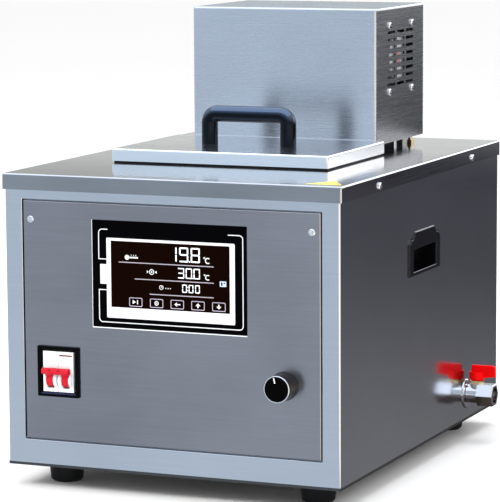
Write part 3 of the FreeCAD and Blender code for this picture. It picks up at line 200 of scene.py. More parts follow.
# The box round the vent slots, where the cover's slot walls get painted shade.
VENT_SHADE_BOX = ((cover_right - 0.0018, cover_right + 0.001), (vent_low.y, vent_high.y),
         (vent_low.z, vent_high.z))
STEEL = {
    "body": brushed("steel_body", colour(0.62, 0.63, 0.65), 0.15, 0.03, 0.05, 0.6),
    # The panel is the frame's steel in a darker tint, painted shade, and it brightens towards +X as
    # painted light.
    "panel": brushed("steel_panel_painted_shade", colour(0.335, 0.315, 0.32), 0.24, 0.045, 0.10, painted_slope=0.35),
    # The deck's faces that point along Y are dimmed: painted shade.
    "deck": brushed("steel_deck", colour(0.52, 0.52, 0.525), 0.11, 0.02, 0.14, 0.3,
                    front_painted_light=0.68, unevenness=0.5),
    # The lid is the same steel in a brighter tint, painted light, and its faces that point along Y are
    # brightened further: painted light.
    "lid": brushed("steel_lid_painted_light", colour(0.87, 0.875, 0.885), 0.14, 0.02, 0.05, 0.3,
                   front_painted_light=1.25, unevenness=0.9),
    # The cover's sides are dimmed, painted shade, and the walls of its vent slots are painted nearly
    # black as shade.
    "cover": brushed("steel_cover", colour(0.60, 0.615, 0.635), 0.27, 0.03, 0.06, 0.80,
                     side_painted_light=0.5, painted_shade_box=VENT_SHADE_BOX),
    "rear": brushed("steel_rear", colour(0.58, 0.59, 0.60), 0.22),
    "pan": brushed("painted_pan", colour(0.10, 0.095, 0.09), 0.40),
    "tank": brushed("steel_tank", colour(0.62, 0.63, 0.64), 0.20),
}


def chrome(name, top_tint, painted_underside_shade, rough):
    """Plated brass whose downward faces are painted darker and browner than its top: painted shade."""
    made, tree = new_material(name)
    coords = add(tree, "TexCoord")
    normal = add(tree, "SeparateXYZ", {0: (coords, "Normal")})
    cloud = stretched(tree, coords, (120, 120, 120), 3.0, 0.6)
    level = spread(tree, (cloud, 0), 0.0, 0.12)
    lifted = add(tree, "Math", {0: (normal, 2), 1: (level, 0)}, operation="ADD")
    # Painted shade: faces that point down take the dark brown tint.
    upper = add(tree, "MapRange", {0: (lifted, 0), 1: -0.45, 2: -0.15, 3: 0.0, 4: 1.0})
    base = add(tree, "Mix", {0: (upper, 0), 6: painted_underside_shade, 7: top_tint}, data_type="RGBA")
    shader = add(tree, "BsdfPrincipled", {"Base Color": (base, 2), "Metallic": 1.0, "Roughness": rough})
    return finish_material(made, tree, shader)


def lacquer(name, tint, painted_sheen_tint, rough):
    """Black lacquer with a painted highlight: its upward faces reflect strongly, in a blue tint, and
    the faces below reflect weakly.
    """
    made, tree = new_material(name)
    coords = add(tree, "TexCoord")
    normal = add(tree, "SeparateXYZ", {0: (coords, "Normal")})
    clouds = stretched(tree, coords, (60, 60, 60), 3.0, 0.6)
    # Painted highlight: how strongly a face reflects follows how far it points up.
    level = add(tree, "MapRange", {0: (normal, 2), 1: 0.12, 2: 0.45, 3: 0.10, 4: 1.0})
    roughness = spread(tree, (clouds, 0), rough, rough * 0.2)
    shader = add(tree, "BsdfPrincipled", {
        "Base Color": tint, "Roughness": (roughness, 0), "Specular IOR Level": (level, 0),
        "Specular Tint": painted_sheen_tint, "IOR": 1.8})
    return finish_material(made, tree, shader)


SCREW = metal("screw_steel", colour(0.80, 0.80, 0.81), 0.10, 0.04, 200)
ZINC = metal("zinc_plate", colour(0.52, 0.53, 0.54), 0.32, 0.10, 40)
# The dark brown tint is the painted shade on the plated parts' undersides.
NICKEL = chrome("nickel_plate", colour(0.74, 0.745, 0.76), colour(0.26, 0.20, 0.17), 0.16)
BRASS = metal("yellow_brass", colour(0.83, 0.68, 0.42), 0.20, 0.08, 120)
CASTING = metal("motor_casting", colour(0.20, 0.21, 0.22), 0.45, 0.12, 120)
SHEATH = metal("heater_sheath", colour(0.45, 0.42, 0.38), 0.35, 0.15, 40)
CAN = metal("pot_can", colour(0.60, 0.60, 0.58), 0.35)
BLACK_GLOSS = plastic("black_gloss", colour(0.003, 0.003, 0.004), 0.13, 0.02, 60, 0.28)
# The blue is the tint of the handle's painted highlight.
LACQUER = lacquer("handle_lacquer", colour(0.003, 0.003, 0.003), colour(0.50, 0.68, 1.0), 0.13)
BLACK_INK = plastic("black_overlay", colour(0.0015, 0.0015, 0.002), 0.40, 0.02, 60, 0.0)
BLACK = plastic("black_plastic", colour(0.004, 0.004, 0.005), 0.22, 0.05, 90, 0.14)
SKIRT = plastic("knob_skirt", colour(0.006, 0.004, 0.004), 0.13, 0.05, 90, 0.32)
WHITE = plastic("white_plastic", colour(0.82, 0.83, 0.84), 0.35, 0.02, 90)
RED = plastic("red_plastic", colour(0.58, 0.003, 0.018), 0.30, 0.04, 120, 0.25)
# Dark red for the printed mark, and for the painted shade in the toggle's notches.
DARK_RED = plastic("print_and_notch_shade_red", colour(0.16, 0.002, 0.008), 0.4, 0.04, 120, 0.2)
LEVER_RED = plastic("lever_vinyl", colour(0.80, 0.001, 0.002), 0.40, 0.04, 120, 0.06)
FOOT = plastic("foot_rubber", colour(0.006, 0.006, 0.006), 0.50, 0.08, 200, 0.3, grit=0.2)
SEAL = plastic("gasket_rubber", colour(0.010, 0.010, 0.012), 0.6, 0.08, 200, 0.2, grit=0.2)
FOAM = plastic("insulation_foam", colour(0.72, 0.71, 0.67), 0.9, 0.08, 200, 0.1, grit=0.6)
CREAM = plastic("seat_plastic", colour(0.80, 0.80, 0.76), 0.4)
HOSE = plastic("hose_rubber", colour(0.28, 0.28, 0.28), 0.5, 0.08, 200, 0.3)
BOARD = plastic("circuit_board", colour(0.02, 0.12, 0.05), 0.45, 0.10, 60)
YELLOW = plastic("label_film", colour(0.90, 0.80, 0.13), 0.35, 0.04, 90, 0.3)
WHITE_INK = plastic("white_ink", colour(0.80, 0.81, 0.82), 0.4, 0.02, 90, 0.1)
RULE_INK = plastic("rule_ink", colour(0.42, 0.38, 0.44), 0.4, 0.02, 90, 0.1)
LIT = plastic("lit_segments", colour(0.92, 0.95, 1.0), 0.4, 0.02, 90, 0.3, glow=0.35)
KEY_INK = plastic("key_ink", colour(0.50, 0.44, 0.56), 0.4, 0.02, 90, 0.3)
SCREEN = plastic("screen_glass", colour(0.005, 0.0018, 0.0010), 0.30, 0.02, 60, 0.0)
ICON_INK = plastic("icon_ink", colour(0.55, 0.66, 0.86), 0.4, 0.02, 90, 0.3)
# A painted highlight for the overlay's lit edges.
EDGE_HIGHLIGHT = plastic("overlay_edge_highlight", colour(0.80, 0.82, 0.84), 0.3, 0.02, 90, 0.4)


def two_tone(name, plain, marked, mask_of, rough, specular):
    """A plastic in one colour with a mark in another. mask_of(tree, coords) gives the mark, 0 to 1."""
    made, tree = new_material(name)
    coords = add(tree, "TexCoord")
    clouds = stretched(tree, coords, (90, 90, 90), 3.0, 0.6)
    mask = mask_of(tree, coords)
    blend = add(tree, "Mix", {0: (mask, 0), 6: plain, 7: marked}, data_type="RGBA")
    roughness = spread(tree, (clouds, 0), rough, rough * 0.2)
    shader = add(tree, "BsdfPrincipled", {
        "Base Color": (blend, 2), "Roughness": (roughness, 0), "Specular IOR Level": specular})
    return finish_material(made, tree, shader)


POINTER_TURN = -14.6    # degrees, a little left of the top
HUB_RADIUS = 0.0282


def pointer_mask(tree, coords):
    """The pointer line, from the ring inwards."""
    low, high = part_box("knob_cap")
    middle = (low + high) / 2
    local = add(tree, "Mapping", {
        "Vector": (coords, "Object"), "Location": (middle.x, 0.0, middle.z),
        "Rotation": (0.0, math.radians(POINTER_TURN), 0.0)}, vector_type="TEXTURE")
    parts = add(tree, "SeparateXYZ", {0: (local, 0)})
    across = within(tree, (parts, 0), -0.0006, 0.0006)
    along = within(tree, (parts, 2), 0.0064, 0.0130)
    return product(tree, across, along)


def hub_mask(tree, coords):
    """The pale middle of the fan rotor, out to the foot of its blades."""
    low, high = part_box("fan_frame")
    middle = (low + high) / 2
    local = add(tree, "VectorMath", {0: (coords, "Object"), 1: tuple(middle)},
                operation="SUBTRACT")
    flat = add(tree, "VectorMath", {0: (local, 0), 1: (0.0, 1.0, 1.0)}, operation="MULTIPLY")
    radius = add(tree, "VectorMath", {0: (flat, 0)}, operation="LENGTH")
    return within(tree, (radius, 1), -1.0, HUB_RADIUS)


def painted_reflection_mask(tree, coords):
    """The bezel's lower inner sloped face, which faces up: it carries a painted reflection of the sky.
    """
    low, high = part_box("breaker_bezel")
    normal = add(tree, "SeparateXYZ", {0: (coords, "Normal")})
    place = add(tree, "SeparateXYZ", {0: (coords, "Object")})
    rising = within(tree, (normal, 2), 0.25, 1.1)
    below = within(tree, (place, 2), low.z + 0.0008, (low.z * 3 + high.z) / 4)
    return product(tree, rising, below)


# The navy on the bezel's lower inner face is a painted reflection of the sky.
BEZEL = two_tone("breaker_frame", colour(0.0015, 0.0015, 0.002), colour(0.028, 0.034, 0.080),
                 painted_reflection_mask, 0.35, 0.04)
KNOB_FACE = two_tone("knob_face", colour(0.002, 0.002, 0.002), colour(0.85, 0.85, 0.86),
                     pointer_mask, 0.3, 0.0)
ROTOR = two_tone("fan_rotor_plastic", colour(0.006, 0.006, 0.007), colour(0.78, 0.80, 0.84),
                 hub_mask, 0.4, 0.3)

LOOKS = {
    "body_shell": STEEL["body"], "front_panel": STEEL["panel"], "rear_panel": STEEL["rear"],
    "deck_plate": STEEL["deck"], "lid": STEEL["lid"], "motor_cover": STEEL["cover"],
    "base_pan": STEEL["pan"], "tank": STEEL["tank"], "pump_tube": STEEL["tank"],
    "pump_base_plate": STEEL["cover"], "bulkhead": ZINC, "base_plate_posts": ZINC,
    "heater_element": SHEATH,
    "temperature_probe": SCREW, "heater_nuts": BRASS, "probe_gland": BRASS,
    "front_panel_screws": SCREW, "rear_panel_screws": SCREW, "deck_screws": SCREW,
    "motor_cover_screws": SCREW, "fan_screws": SCREW, "foot_screws": SCREW, "inlet_screws": SCREW,
    "lid_handle_screws": SCREW, "potentiometer_nut": ZINC, "potentiometer": CAN,
    "tank_insulation": FOAM, "foot_front_left": FOOT, "foot_front_right": FOOT,
    "foot_rear_left": FOOT, "foot_rear_right": FOOT, "display_overlay": BLACK_INK,
    "carry_handle_right": BLACK_GLOSS, "carry_handle_left": BLACK_GLOSS, "breaker_bezel": BEZEL,
    "power_inlet": BLACK, "fan_frame": BLACK, "fan_rotor": ROTOR, "breaker_body": WHITE,
    "breaker_toggle": RED, "drain_valve_body": NICKEL, "drain_flange": NICKEL, "drain_gland_nut": BRASS,
    "drain_lever": LEVER_RED, "drain_stem": BRASS, "drain_ball": NICKEL, "drain_seats": CREAM,
    "drain_pipe": HOSE, "control_board": BOARD, "display_module": BOARD, "pump_motor": CASTING,
    "solid_state_relay": BLACK, "cover_seal": SEAL, "deck_label": YELLOW, "lid_gasket": SEAL,
    "lid_handle": LACQUER,
    "speed_knob": SKIRT, "knob_cap": KNOB_FACE, "knob_shaft": BRASS,
    "pump_shaft": SCREW, "pump_impeller": CREAM,
}
for name, node in nodes.items():
    node.data.materials.clear()
    node.data.materials.append(LOOKS[name])


# ---------------------------------------------------------------- flat shapes

def to_front(a, b, depth):
    return a, depth, b


def to_top(a, b, depth):
    return a, b, -depth


def to_right(a, b, depth):
    return -depth, a, b


def along_x(a, b, depth):
    return depth, a, b


SHARP = math.radians(40)


def closed_mesh(name, points, faces, bevel=0.0):
    """A mesh with every face turned outwards and its sharp edges bevelled."""
    mesh = bpy.data.meshes.new(name)
    mesh.from_pydata(points, [], faces)
    work = bmesh.new()
    work.from_mesh(mesh)
    bmesh.ops.recalc_face_normals(work, faces=work.faces)
    if bevel:
        sharp = [edge for edge in work.edges
                 if edge.is_manifold and edge.calc_face_angle(0) > SHARP]
        bmesh.ops.bevel(work, geom=sharp, offset=bevel * MM, segments=2, affect="EDGES",
                        clamp_overlap=True)
    work.to_mesh(mesh)
    work.free()
    return mesh


def prism(name, shapes, near, far, body, look, turn=to_front, bevel=0.0):
    """Plates of one piece, in millimetres. A shape is a closed outline, or an outer and an inner
    outline with as many points. turn says how an outline's two numbers and the depth, from near to
    far, become x, y and z."""
    points, faces = [], []
    for shape in shapes:
        start = len(points)
        loops = shape if isinstance(shape, tuple) else (shape,)
        count = len(loops[0])
        for depth in (near, far):
            for loop in loops:
                points += [Vector(turn(a, b, depth)) * MM for a, b in loop]
        many = len(loops)
        for i in range(count):
            j = (i + 1) % count
            for which in range(many):
                near_i, near_j = start + which * count + i, start + which * count + j
                faces.append((near_i, near_j, near_j + many * count, near_i + many * count))
            if many == 2:
                for side in (start, start + 2 * count):
                    faces.append((side + i, side + j, side + count + j, side + count + i))
        if many == 1:
            faces.append(tuple(range(start, start + count)))
            faces.append(tuple(range(start + count, start + 2 * count)))
    return shown(name, closed_mesh(name, points, faces, bevel), body, look)


LATHE_STEPS = 96


def lathe(name, profile, middle, body, look):
    """A closed profile of (radius, y), in millimetres, turned about the line along Y at (x, z)."""
    points, faces = [], []
    for i in range(LATHE_STEPS):
        a = 2 * math.pi * i / LATHE_STEPS
        points += [Vector((middle[0] + r * math.cos(a), y, middle[1] + r * math.sin(a))) * MM
                   for r, y in profile]
    count = len(profile)
    for i in range(LATHE_STEPS):
        for j in range(count):
            k = (j + 1) % count
            here, there = i * count, (i + 1) % LATHE_STEPS * count
            faces.append((here + j, here + k, there + k, there + j))
    mesh = closed_mesh(name, points, faces)
    mesh.polygons.foreach_set("use_smooth", [True] * len(mesh.polygons))
    return shown(name, mesh, body, look)


def shown(name, mesh, body, look):
    piece = bpy.data.objects.new(name, mesh)
    scene.collection.objects.link(piece)
    mesh.materials.append(look)
    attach(piece, body)
    return piece


def rounded(x0, z0, x1, z1, radius=0.0, steps=6):
    """A rectangle's outline with round corners."""
    radius = max(radius, 0.02)
    points = []
    for cx, cz, start in ((x1 - radius, z0 + radius, -90), (x1 - radius, z1 - radius, 0),
                          (x0 + radius, z1 - radius, 90), (x0 + radius, z0 + radius, 180)):
        points += arc(cx, cz, radius, start, start + 90, steps)
    return points


def on_circle(x, z, radius, angle):
    return x + radius * math.cos(angle), z + radius * math.sin(angle)


def disc(x, z, radius, steps=24):
    return [on_circle(x, z, radius, 2 * math.pi * i / steps) for i in range(steps)]


def ring(x, z, outer, inner, steps=24):
    return disc(x, z, outer, steps), disc(x, z, inner, steps)


def arc(x, z, radius, start, end, steps=6):
    return [on_circle(x, z, radius, math.radians(start + (end - start) * i / steps))
            for i in range(steps + 1)]


def stroke(points, width):
    """The outline of an open line of that width."""
    left, right = [], []
    for i, (x, z) in enumerate(points):
        before = points[max(i - 1, 0)]
        after = points[min(i + 1, len(points) - 1)]
        dx, dz = after[0] - before[0], after[1] - before[1]
        if 0 < i < len(points) - 1:
            ax, az = points[i][0] - before[0], points[i][1] - before[1]
            bx, bz = after[0] - points[i][0], after[1] - points[i][1]
            la, lb = math.hypot(ax, az), math.hypot(bx, bz)
            dx, dz = ax / la + bx / lb, az / la + bz / lb
            half = width / 2 / max(0.35, math.hypot(dx, dz) / 2)
        else:
            half = width / 2
        length = math.hypot(dx, dz)
        nx, nz = -dz / length * half, dx / length * half
        left.append((x + nx, z + nz))
        right.append((x - nx, z - nz))
    return left + right[::-1]


# ---------------------------------------------------------------- display

overlay_low, overlay_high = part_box("display_overlay")
left, bottom = overlay_low.x / MM, overlay_low.z / MM
front = overlay_low.y / MM


def on_display(shapes):
    """Shapes drawn from the overlay's lower left corner, moved to their place on the panel."""
    def moved(outline):
        return [(left + x, bottom + z) for x, z in outline]
    return [tuple(moved(loop) for loop in shape) if isinstance(shape, tuple) else moved(shape)
            for shape in shapes]


def printed(name, shapes, proud, look, base=0.0):
    """Ink on the overlay: shapes that stand proud of it, from a base above its face."""
    return prism(name, on_display(shapes), front - base - proud, front - base, "housing", look)


SEGMENTS = {"0": "abcdef", "1": "bc", "3": "abcdg", "8": "abcdefg", "9": "abcdfg"}


def digit(mark, x, z, width, height, thick):
    """The lit bars of one seven-bar digit."""
    gap, half = thick * 0.12, height / 2
    bars = {
        "a": (x + gap, z + height - thick, x + width - gap, z + height),
        "g": (x + thick * 0.5, z + half - thick / 2, x + width - thick * 0.5, z + half + thick / 2),
        "d": (x + gap, z, x + width - gap, z + thick),
        "f": (x, z + half + gap, x + thick, z + height - gap),
        "b": (x + width - thick, z + half + gap, x + width, z + height - gap),
        "e": (x, z + gap, x + thick, z + half - gap),
        "c": (x + width - thick, z + gap, x + width, z + half - gap),
    }
    outlines = []
    for bar in SEGMENTS[mark]:
        x0, z0, x1, z1 = bars[bar]
        cut = thick * 0.42
        if x1 - x0 > z1 - z0:
            middle = (z0 + z1) / 2
            outlines.append([(x0 + cut, z0), (x1 - cut, z0), (x1, middle), (x1 - cut, z1),
                             (x0 + cut, z1), (x0, middle)])
        else:
            middle = (x0 + x1) / 2
            outlines.append([(x0, z0 + cut), (middle, z0), (x1, z0 + cut), (x1, z1 - cut),
                             (middle, z1), (x0, z1 - cut)])
    return outlines


def reading(marks, x, z, width, height, thick, pitch):
    """Seven-bar digits in a row. A dot or a colon stands between digits and takes no room."""
    outlines, at = [], x
    for mark in marks:
        middle = at - pitch + width + (pitch - width) / 2
        if mark == ".":
            outlines.append(rounded(middle - thick / 2, z, middle + thick / 2, z + thick,
                                    thick * 0.3, 3))
        elif mark == ":":
            for up in (0.28, 0.68):
                outlines.append(rounded(middle - thick / 2, z + height * up - thick / 2,
                                        middle + thick / 2, z + height * up + thick / 2))
        else:
            outlines += digit(mark, at, z, width, height, thick)
            at += pitch
    return outlines


def degrees(x, z, height):
    """A degree ring and a C, the unit beside a temperature."""
    r = height * 0.42
    return [ring(x + height * 0.16, z + height * 0.86, height * 0.17, height * 0.08, 12),
            stroke(arc(x + height * 0.36 + r, z + height * 0.42, r, 50, 310, 12), height * 0.17)]


FRAME_LINE = 0.9
FRAME_LEFT, FRAME_RIGHT, FRAME_LOW, FRAME_HIGH, FRAME_CORNER = 7.5, 171.0, 5.6, 103.4, 4.0
TAB_GAP_LOW, TAB_GAP_HIGH = 39.6, 72.0    # the frame line's left side is open here, beside the tab
near_left, near_right = FRAME_LEFT + FRAME_CORNER, FRAME_RIGHT - FRAME_CORNER
near_low, near_high = FRAME_LOW + FRAME_CORNER, FRAME_HIGH - FRAME_CORNER
upper_line = ([(17.7, FRAME_HIGH), (near_left, FRAME_HIGH)]
              + arc(near_left, near_high, FRAME_CORNER, 90, 180)[1:]
              + [(FRAME_LEFT, TAB_GAP_HIGH), (17.5, TAB_GAP_HIGH)])
lower_line = ([(17.5, TAB_GAP_LOW), (FRAME_LEFT, TAB_GAP_LOW), (FRAME_LEFT, near_low)]
              + arc(near_left, near_low, FRAME_CORNER, 180, 270)[1:]
              + [(near_right, FRAME_LOW)] + arc(near_right, near_low, FRAME_CORNER, 270, 360)[1:]
              + [(FRAME_RIGHT, near_high)] + arc(near_right, near_high, FRAME_CORNER, 0, 90)[1:]
              + [(154.4, FRAME_HIGH)])
window = rounded(21.4, 21.8, 156.3, 91.8)
printed("display_frame_lines", [stroke(upper_line, FRAME_LINE), stroke(lower_line, FRAME_LINE)],
        0.10, WHITE_INK)
printed("display_border", [(rounded(16.4, 10.4, 162.0, 94.6, 1.4), window)], 0.14, WHITE_INK)
printed("display_tab", [rounded(9.0, 45.8, 16.8, 66.6)], 0.12, WHITE_INK)
SCREEN_PROUD = 0.04
printed("display_screen", [window], SCREEN_PROUD, SCREEN)

lit = reading("19.8", 86.6, 72.9, 10.2, 15.4, 1.5, 13.05)
lit += reading("30.0", 97.9, 55.9, 7.2, 10.8, 1.1, 8.9)
lit += reading("0:00", 102.8, 41.2, 5.2, 8.4, 0.9, 7.3)
printed("display_readings", lit, 0.06, LIT, base=SCREEN_PROUD)
printed("display_units", degrees(126.9, 72.9, 6.4) + degrees(127.2, 55.7, 5.8), 0.05, WHITE_INK,
        base=SCREEN_PROUD)
rules = [rounded(x0, z, x1, z + 0.9)
         for x0, x1, z in ((30.5, 138.5, 69.2), (48.7, 138.4, 52.3), (65.7, 138.2, 37.1))]
printed("display_rules", rules, 0.05, RULE_INK, base=SCREEN_PROUD)

thermometer = [rounded(41.0, 74.2, 52.6, 75.8, 0.7), disc(40.0, 75.0, 2.6)]
thermometer += [rounded(x, 76.6, x + 0.6, 78.0) for x in (44.6, 47.2, 49.8)]
target = [ring(68.2, 60.9, 2.9, 2.1), disc(68.2, 60.9, 0.9, 12),
          [(62.7, 59.4), (64.6, 60.9), (62.7, 62.4)], [(73.8, 59.4), (73.8, 62.4), (71.9, 60.9)]]
clock = [ring(79.0, 45.2, 2.4, 1.8), stroke([(79.0, 46.6), (79.0, 45.1), (80.2, 45.1)], 0.5)]
clock += [rounded(x, 44.0, x + 1.0, 45.0) for x in (83.6, 86.2, 88.8)]
printed("display_symbols", thermometer + target + clock, 0.05, WHITE_INK, base=SCREEN_PROUD)


def key_play(x, z):
    return [[(x - 3.6, z - 2.2), (x + 0.2, z), (x - 3.6, z + 2.2)],
            rounded(x + 1.4, z - 2.2, x + 2.5, z + 2.2)]


def key_set(x, z):
    return [ring(x, z, 2.4, 1.5, 16), disc(x, z, 0.7, 10)]


def key_left(x, z):
    return [[(x - 3.4, z), (x - 0.4, z - 2.3), (x - 0.4, z + 2.3)],
            rounded(x - 0.4, z - 0.6, x + 3.4, z + 0.6)]


def key_up(x, z):
    return [[(x - 2.8, z - 0.3), (x + 2.8, z - 0.3), (x, z + 2.5)],
            rounded(x - 0.7, z - 2.4, x + 0.7, z - 0.3)]


def key_down(x, z):
    return [[(x - 2.8, z + 0.3), (x, z - 2.5), (x + 2.8, z + 0.3)],
            rounded(x - 0.7, z + 0.3, x + 0.7, z + 2.4)]


KEY_HEIGHT = 28.3
KEY_WIDE, KEY_TALL, KEY_RIM = 7.5, 4.7, 0.7    # half the key's width and height, and its rim
inner_wide, inner_tall = KEY_WIDE - KEY_RIM, KEY_TALL - KEY_RIM
key_rims, key_marks = [], []
for x, mark in ((49.6, key_play), (73.4, key_set), (97.0, key_left), (120.4, key_up),
                (143.9, key_down)):
    z = KEY_HEIGHT
    key_rims.append((rounded(x - KEY_WIDE, z - KEY_TALL, x + KEY_WIDE, z + KEY_TALL, 1.3),
                     rounded(x - inner_wide, z - inner_tall, x + inner_wide, z + inner_tall, 0.8)))
    key_marks += mark(x, z)
printed("display_key_rims", key_rims, 0.05, KEY_INK, base=SCREEN_PROUD)
printed("display_key_marks", key_marks, 0.06, WHITE_INK, base=SCREEN_PROUD)
printed("display_icon", [rounded(145.1, 49.5, 152.4, 55.2, 0.8)], 0.05, ICON_INK,
        base=SCREEN_PROUD)
icon_marks = [rounded(146.4, 50.7, 148.2, 54.0), rounded(149.4, 52.6, 151.2, 54.0)]
printed("display_icon_marks", icon_marks, 0.08, SCREEN, base=SCREEN_PROUD)
width, height = overlay_high.x / MM - left, overlay_high.z / MM - bottom
# A pale strip on the overlay's left and bottom edges only: a painted highlight where its edges catch
# the light.
edge = [(-0.6, -1.1), (width + 0.3, -1.1), (width + 0.3, -0.05), (-0.05, -0.05), (-0.05, height),
        (-0.6, height)]
prism("display_edge_highlight", on_display([edge]), front + 0.1, front + 0.75, "housing", EDGE_HIGHLIGHT)


# ---------------------------------------------------------------- breaker, knob, fan and label

body_low, body_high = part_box("breaker_body")
face_y = body_low.y / MM
breaker_x = (body_low.x + body_high.x) / 2 / MM
joints = {joint["name"]: joint for joint in frame["joints"]}
pivot = joints["breaker_switch"]["pos_m"]
pivot_y, pivot_z = pivot[1] / MM, pivot[2] / MM
CHEEK_RADIUS, CHEEK_STEPS = 8.7, 16
cheek_limit = math.degrees(math.acos((pivot_y - face_y) / CHEEK_RADIUS))
cheek = [(pivot_y - CHEEK_RADIUS * math.cos(math.radians(a)),
          pivot_z + CHEEK_RADIUS * math.sin(math.radians(a)))
         for a in [cheek_limit * (i * 2 / CHEEK_STEPS - 1) for i in range(CHEEK_STEPS + 1)]]
for count, (x0, x1) in enumerate(((-15.9, -13.2), (-4.8, -0.7), (0.7, 4.8), (13.2, 15.9))):
    prism(f"breaker_cheek_{count}", [cheek], breaker_x + x0, breaker_x + x1, "housing", WHITE,
          along_x, 0.5)
mark = rounded(breaker_x + 1.2, 144.5, breaker_x + 16.2, 146.0, 0.3)
prism("breaker_mark", [mark], face_y - 0.08, face_y, "housing", DARK_RED)

# The tie bar is the front and top of the toggle. A round bar's mesh falls just short of its true
# radius, so the box is rounded to 0.1 mm.
TIE_RADIUS = 3.5
toggle_low, toggle_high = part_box("breaker_toggle")
tie_y = round(toggle_low.y / MM, 1) + TIE_RADIUS
tie_z = round(toggle_high.z / MM, 1) - TIE_RADIUS
# Dark red patches where the tie bar's notches are, standing proud of it: painted shade in the notches.
NOTCH_ANGLES = (12, 18, 24, 30, 36)
notch_shade = [(tie_y - r * math.cos(math.radians(a)), tie_z + r * math.sin(math.radians(a)))
         for r, angles in ((TIE_RADIUS + 0.06, NOTCH_ANGLES), (TIE_RADIUS - 0.3, NOTCH_ANGLES[::-1]))
         for a in angles]
for count, x in enumerate((-6.6, 4.4)):
    prism(f"toggle_notch_shade_{count}", [notch_shade], breaker_x + x - 1.9, breaker_x + x + 1.9, "toggle",
          DARK_RED, along_x)

cap_low, cap_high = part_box("knob_cap")
knob = ((cap_low.x + cap_high.x) / 2 / MM, (cap_low.z + cap_high.z) / 2 / MM)
ring_profile = [(13.15, 0.5), (13.2, 0.1), (13.4, 0.02), (13.75, 0.1), (14.05, 0.6), (14.12, 1.4),
                (13.7, 1.4), (13.5, 0.6)]
lathe("knob_ring", [(r, cap_low.y / MM + y) for r, y in ring_profile], knob, "knob",
      metal("knob_ring_metal", colour(0.90, 0.90, 0.90), 0.15, 0.03, 200))

fan_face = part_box("fan_rotor")[1].x / MM
fan_middle = joints["fan_spin"]["pos_m"]
badge = disc(fan_middle[1] / MM, fan_middle[2] / MM, 9.5, 32)
prism("fan_badge", [badge], -(fan_face + 0.15), -fan_face, "fan",
      plastic("fan_badge_ink", colour(0.70, 0.32, 0.32), 0.4, 0.05, 200, 0.3),
      to_right)

label_low, label_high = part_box("deck_label")
right, low_y, top = label_high.x / MM, label_low.y / MM, label_high.z / MM
label_line = stroke([(right - 4.2, low_y + 3.0), (right - 13.4, low_y + 19.0)], 1.0)
prism("label_line", [label_line], -(top + 0.08), -top, "housing",
      plastic("label_ink", colour(0.05, 0.05, 0.03), 0.4, 0.02, 90, 0.3), to_top)


# ---------------------------------------------------------------- studio

world = bpy.data.worlds.new("studio")
scene.world = world
world.use_nodes = True
world.node_tree.nodes["Background"].inputs["Color"].default_value = colour(1, 1, 1)
world.node_tree.nodes["Background"].inputs["Strength"].default_value = 1.0
scene.view_settings.view_transform = "Standard"


def plane(name, corners):
    mesh = bpy.data.meshes.new(name)
    mesh.from_pydata(corners, [], [tuple(range(len(corners)))])
    made = bpy.data.objects.new(name, mesh)
    scene.collection.objects.link(made)
    return made


def glossy_only(card):
    """A card that only reflections see: it lights nothing and casts no shadow."""
    card.visible_camera = False
    card.visible_diffuse = False
    card.visible_shadow = False
    card.visible_transmission = False
    card.visible_volume_scatter = False
    return card


floor = plane("floor", [(-40, -40, 0), (40, -40, 0), (40, 40, 0), (-40, 40, 0)])
floor_look, tree = new_material("floor_paper")
fine = stretched(tree, add(tree, "TexCoord"), (3, 3, 3), 2.0, 0.5)
tone = spread(tree, (fine, 0), 0.955, 0.004)
floor_tint = add(tree, "CombineColor", {0: (tone, 0), 1: (tone, 0), 2: (tone, 0)})
floor_shader = add(tree, "BsdfPrincipled", {
    "Base Color": (floor_tint, 0), "Roughness": 0.9, "Specular IOR Level": 0.1})
floor.data.materials.append(finish_material(floor_look, tree, floor_shader))


def card_look(name, low, high, axis, start, end):
    """An even glow that turns from one colour to another along an axis of the room, in metres."""
    made, tree = new_material(name)
    parts = add(tree, "SeparateXYZ", {0: (add(tree, "TexCoord"), "Object")})
    share = add(tree, "MapRange", {"Value": (parts, axis), "From Min": start, "From Max": end},
                interpolation_type="SMOOTHSTEP")
    blend = add(tree, "Mix", {0: (share, 0), 6: low, 7: high}, data_type="RGBA")
    glow = add(tree, "Emission", {"Color": (blend, 2), "Strength": 1.0})
    return finish_material(made, tree, glow)


CARD_LIFT = 0.0006


def level_card(name, x0, x1, y0, y1, low, high=None, start=0.0, end=1.0):
    """A card just above the floor. Its colour turns from low to high along y, from start to end."""
    z = CARD_LIFT
    card = glossy_only(plane(name, [(x0, y0, z), (x1, y0, z), (x1, y1, z), (x0, y1, z)]))
    card.data.materials.append(card_look(name + "_look", low, high or low, 1, start, end))


def upright_card(name, x0, x1, y, z0, z1, low, high=None, start=0.0, end=1.0):
    """A card that stands across y. Its colour turns from low to high along z, start to end."""
    card = glossy_only(plane(name, [(x0, y, z0), (x1, y, z0), (x1, y, z1), (x0, y, z1)]))
    card.data.materials.append(card_look(name + "_look", low, high or low, 2, start, end))


RIGHT_DARK = colour(0.030, 0.031, 0.042)
SIDE, END = 0.195, 0.26    # the housing's half width and half depth on the floor
level_card("front_left_floor", -9, 0.3, -9, -END, colour(0.58, 0.69, 0.82),
           colour(0.62, 0.73, 0.86), -3.0, -0.3)
level_card("front_right_floor", 0.3, 9, -9, -END, colour(1.7, 1.6, 1.45))
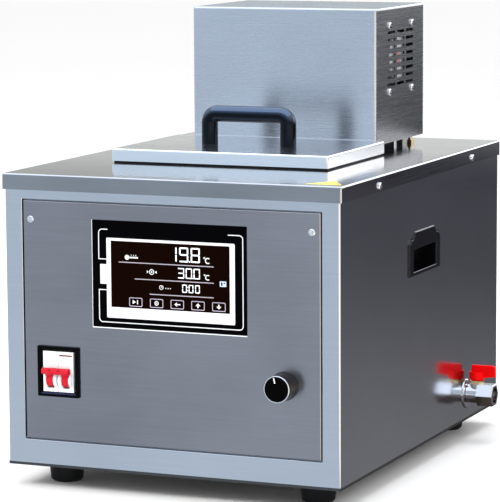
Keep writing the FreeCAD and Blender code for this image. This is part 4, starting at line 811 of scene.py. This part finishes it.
# A dark card under the housing, seen only in reflections: the housing's shadow on the floor, painted.
level_card("under_floor_shade", -SIDE, SIDE, -END, END, colour(0.10, 0.10, 0.10))
level_card("left_floor", -9, -SIDE, -END, 9, colour(0.62, 0.62, 0.60))
level_card("back_floor", -SIDE, SIDE, END, 9, colour(0.55, 0.55, 0.55))
level_card("right_floor", SIDE, 9, -END, 9, colour(0.20, 0.20, 0.215),
           colour(0.075, 0.075, 0.09), -0.3, 1.8)
upright_card("right_low", -0.2, 6, 2.6, 0.0, 0.14, RIGHT_DARK, colour(0.20, 0.21, 0.23), 0.03, 0.12)
upright_card("right_dark", -0.2, 6, 2.6, 0.14, 0.64, RIGHT_DARK, colour(1.0, 1.05, 1.1), 0.56, 0.64)
upright_card("right_window", -0.2, 7, 3.2, 0.62, 2.6, colour(2.5, 2.55, 2.65))
upright_card("back_left", -8, -0.2, 4.5, 0.0, 3.0, colour(0.98, 1.00, 0.99),
             colour(0.19, 0.21, 0.19), 0.74, 1.02)
upright_card("front_wall", -9, 3, -6.5, 0.0, 3.0, colour(0.66, 0.80, 0.98))
upright_card("front_upper", -9, 3, -6.5, 3.0, 9.0, colour(0.60, 0.70, 0.90))
SKY_FRONT, SKY_BACK, SKY_SIDE, SKY_HEIGHT = -2.6, 2.4, 2.6, 3.0
sky = glossy_only(plane("sky", [
    (-SKY_SIDE, SKY_FRONT, SKY_HEIGHT), (-SKY_SIDE, SKY_BACK, SKY_HEIGHT),
    (SKY_SIDE, SKY_BACK, SKY_HEIGHT), (SKY_SIDE, SKY_FRONT, SKY_HEIGHT)]))
sky.data.materials.append(card_look("sky_look", colour(1.75, 1.95, 2.3), colour(1.8, 1.95, 2.2), 1,
                                    SKY_FRONT, SKY_BACK))


def softbox(name, place, aim, size, power):
    light = bpy.data.lights.new(name, "AREA")
    light.shape = "RECTANGLE"
    light.size, light.size_y = size
    light.energy = power
    made = bpy.data.objects.new(name, light)
    made.location = place
    made.rotation_euler = (Vector(aim) - Vector(place)).to_track_quat("-Z", "Y").to_euler()
    made.visible_glossy = False
    scene.collection.objects.link(made)
    return made


softbox("key", (-1.6, -2.2, 2.4), (0, 0, 0.2), (1.6, 1.2), 55)
softbox("top", (0.2, 0.4, 2.6), (0, 0, 0.3), (1.8, 1.4), 30)
softbox("rim", (2.4, -1.4, 1.8), (0.1, 0, 0.2), (0.8, 1.4), 22)


# ---------------------------------------------------------------- camera

camera_data = bpy.data.cameras.new("camera")
camera = bpy.data.objects.new("camera", camera_data)
scene.collection.objects.link(camera)
scene.camera = camera
camera_data.sensor_width = 36.0
camera_data.lens = 201.1
camera_data.clip_end = 200.0
CAMERA_PLACE = (1.1934, -2.8721, 0.6532)
CAMERA_TURN, CAMERA_DIP, CAMERA_ROLL = 0.3989, 0.1353, -0.0058
camera.matrix_world = (Matrix.Translation(CAMERA_PLACE) @ Matrix.Rotation(CAMERA_TURN, 4, "Z")
                       @ Matrix.Rotation(math.pi / 2 - CAMERA_DIP, 4, "X")
                       @ Matrix.Rotation(CAMERA_ROLL, 4, "Z"))
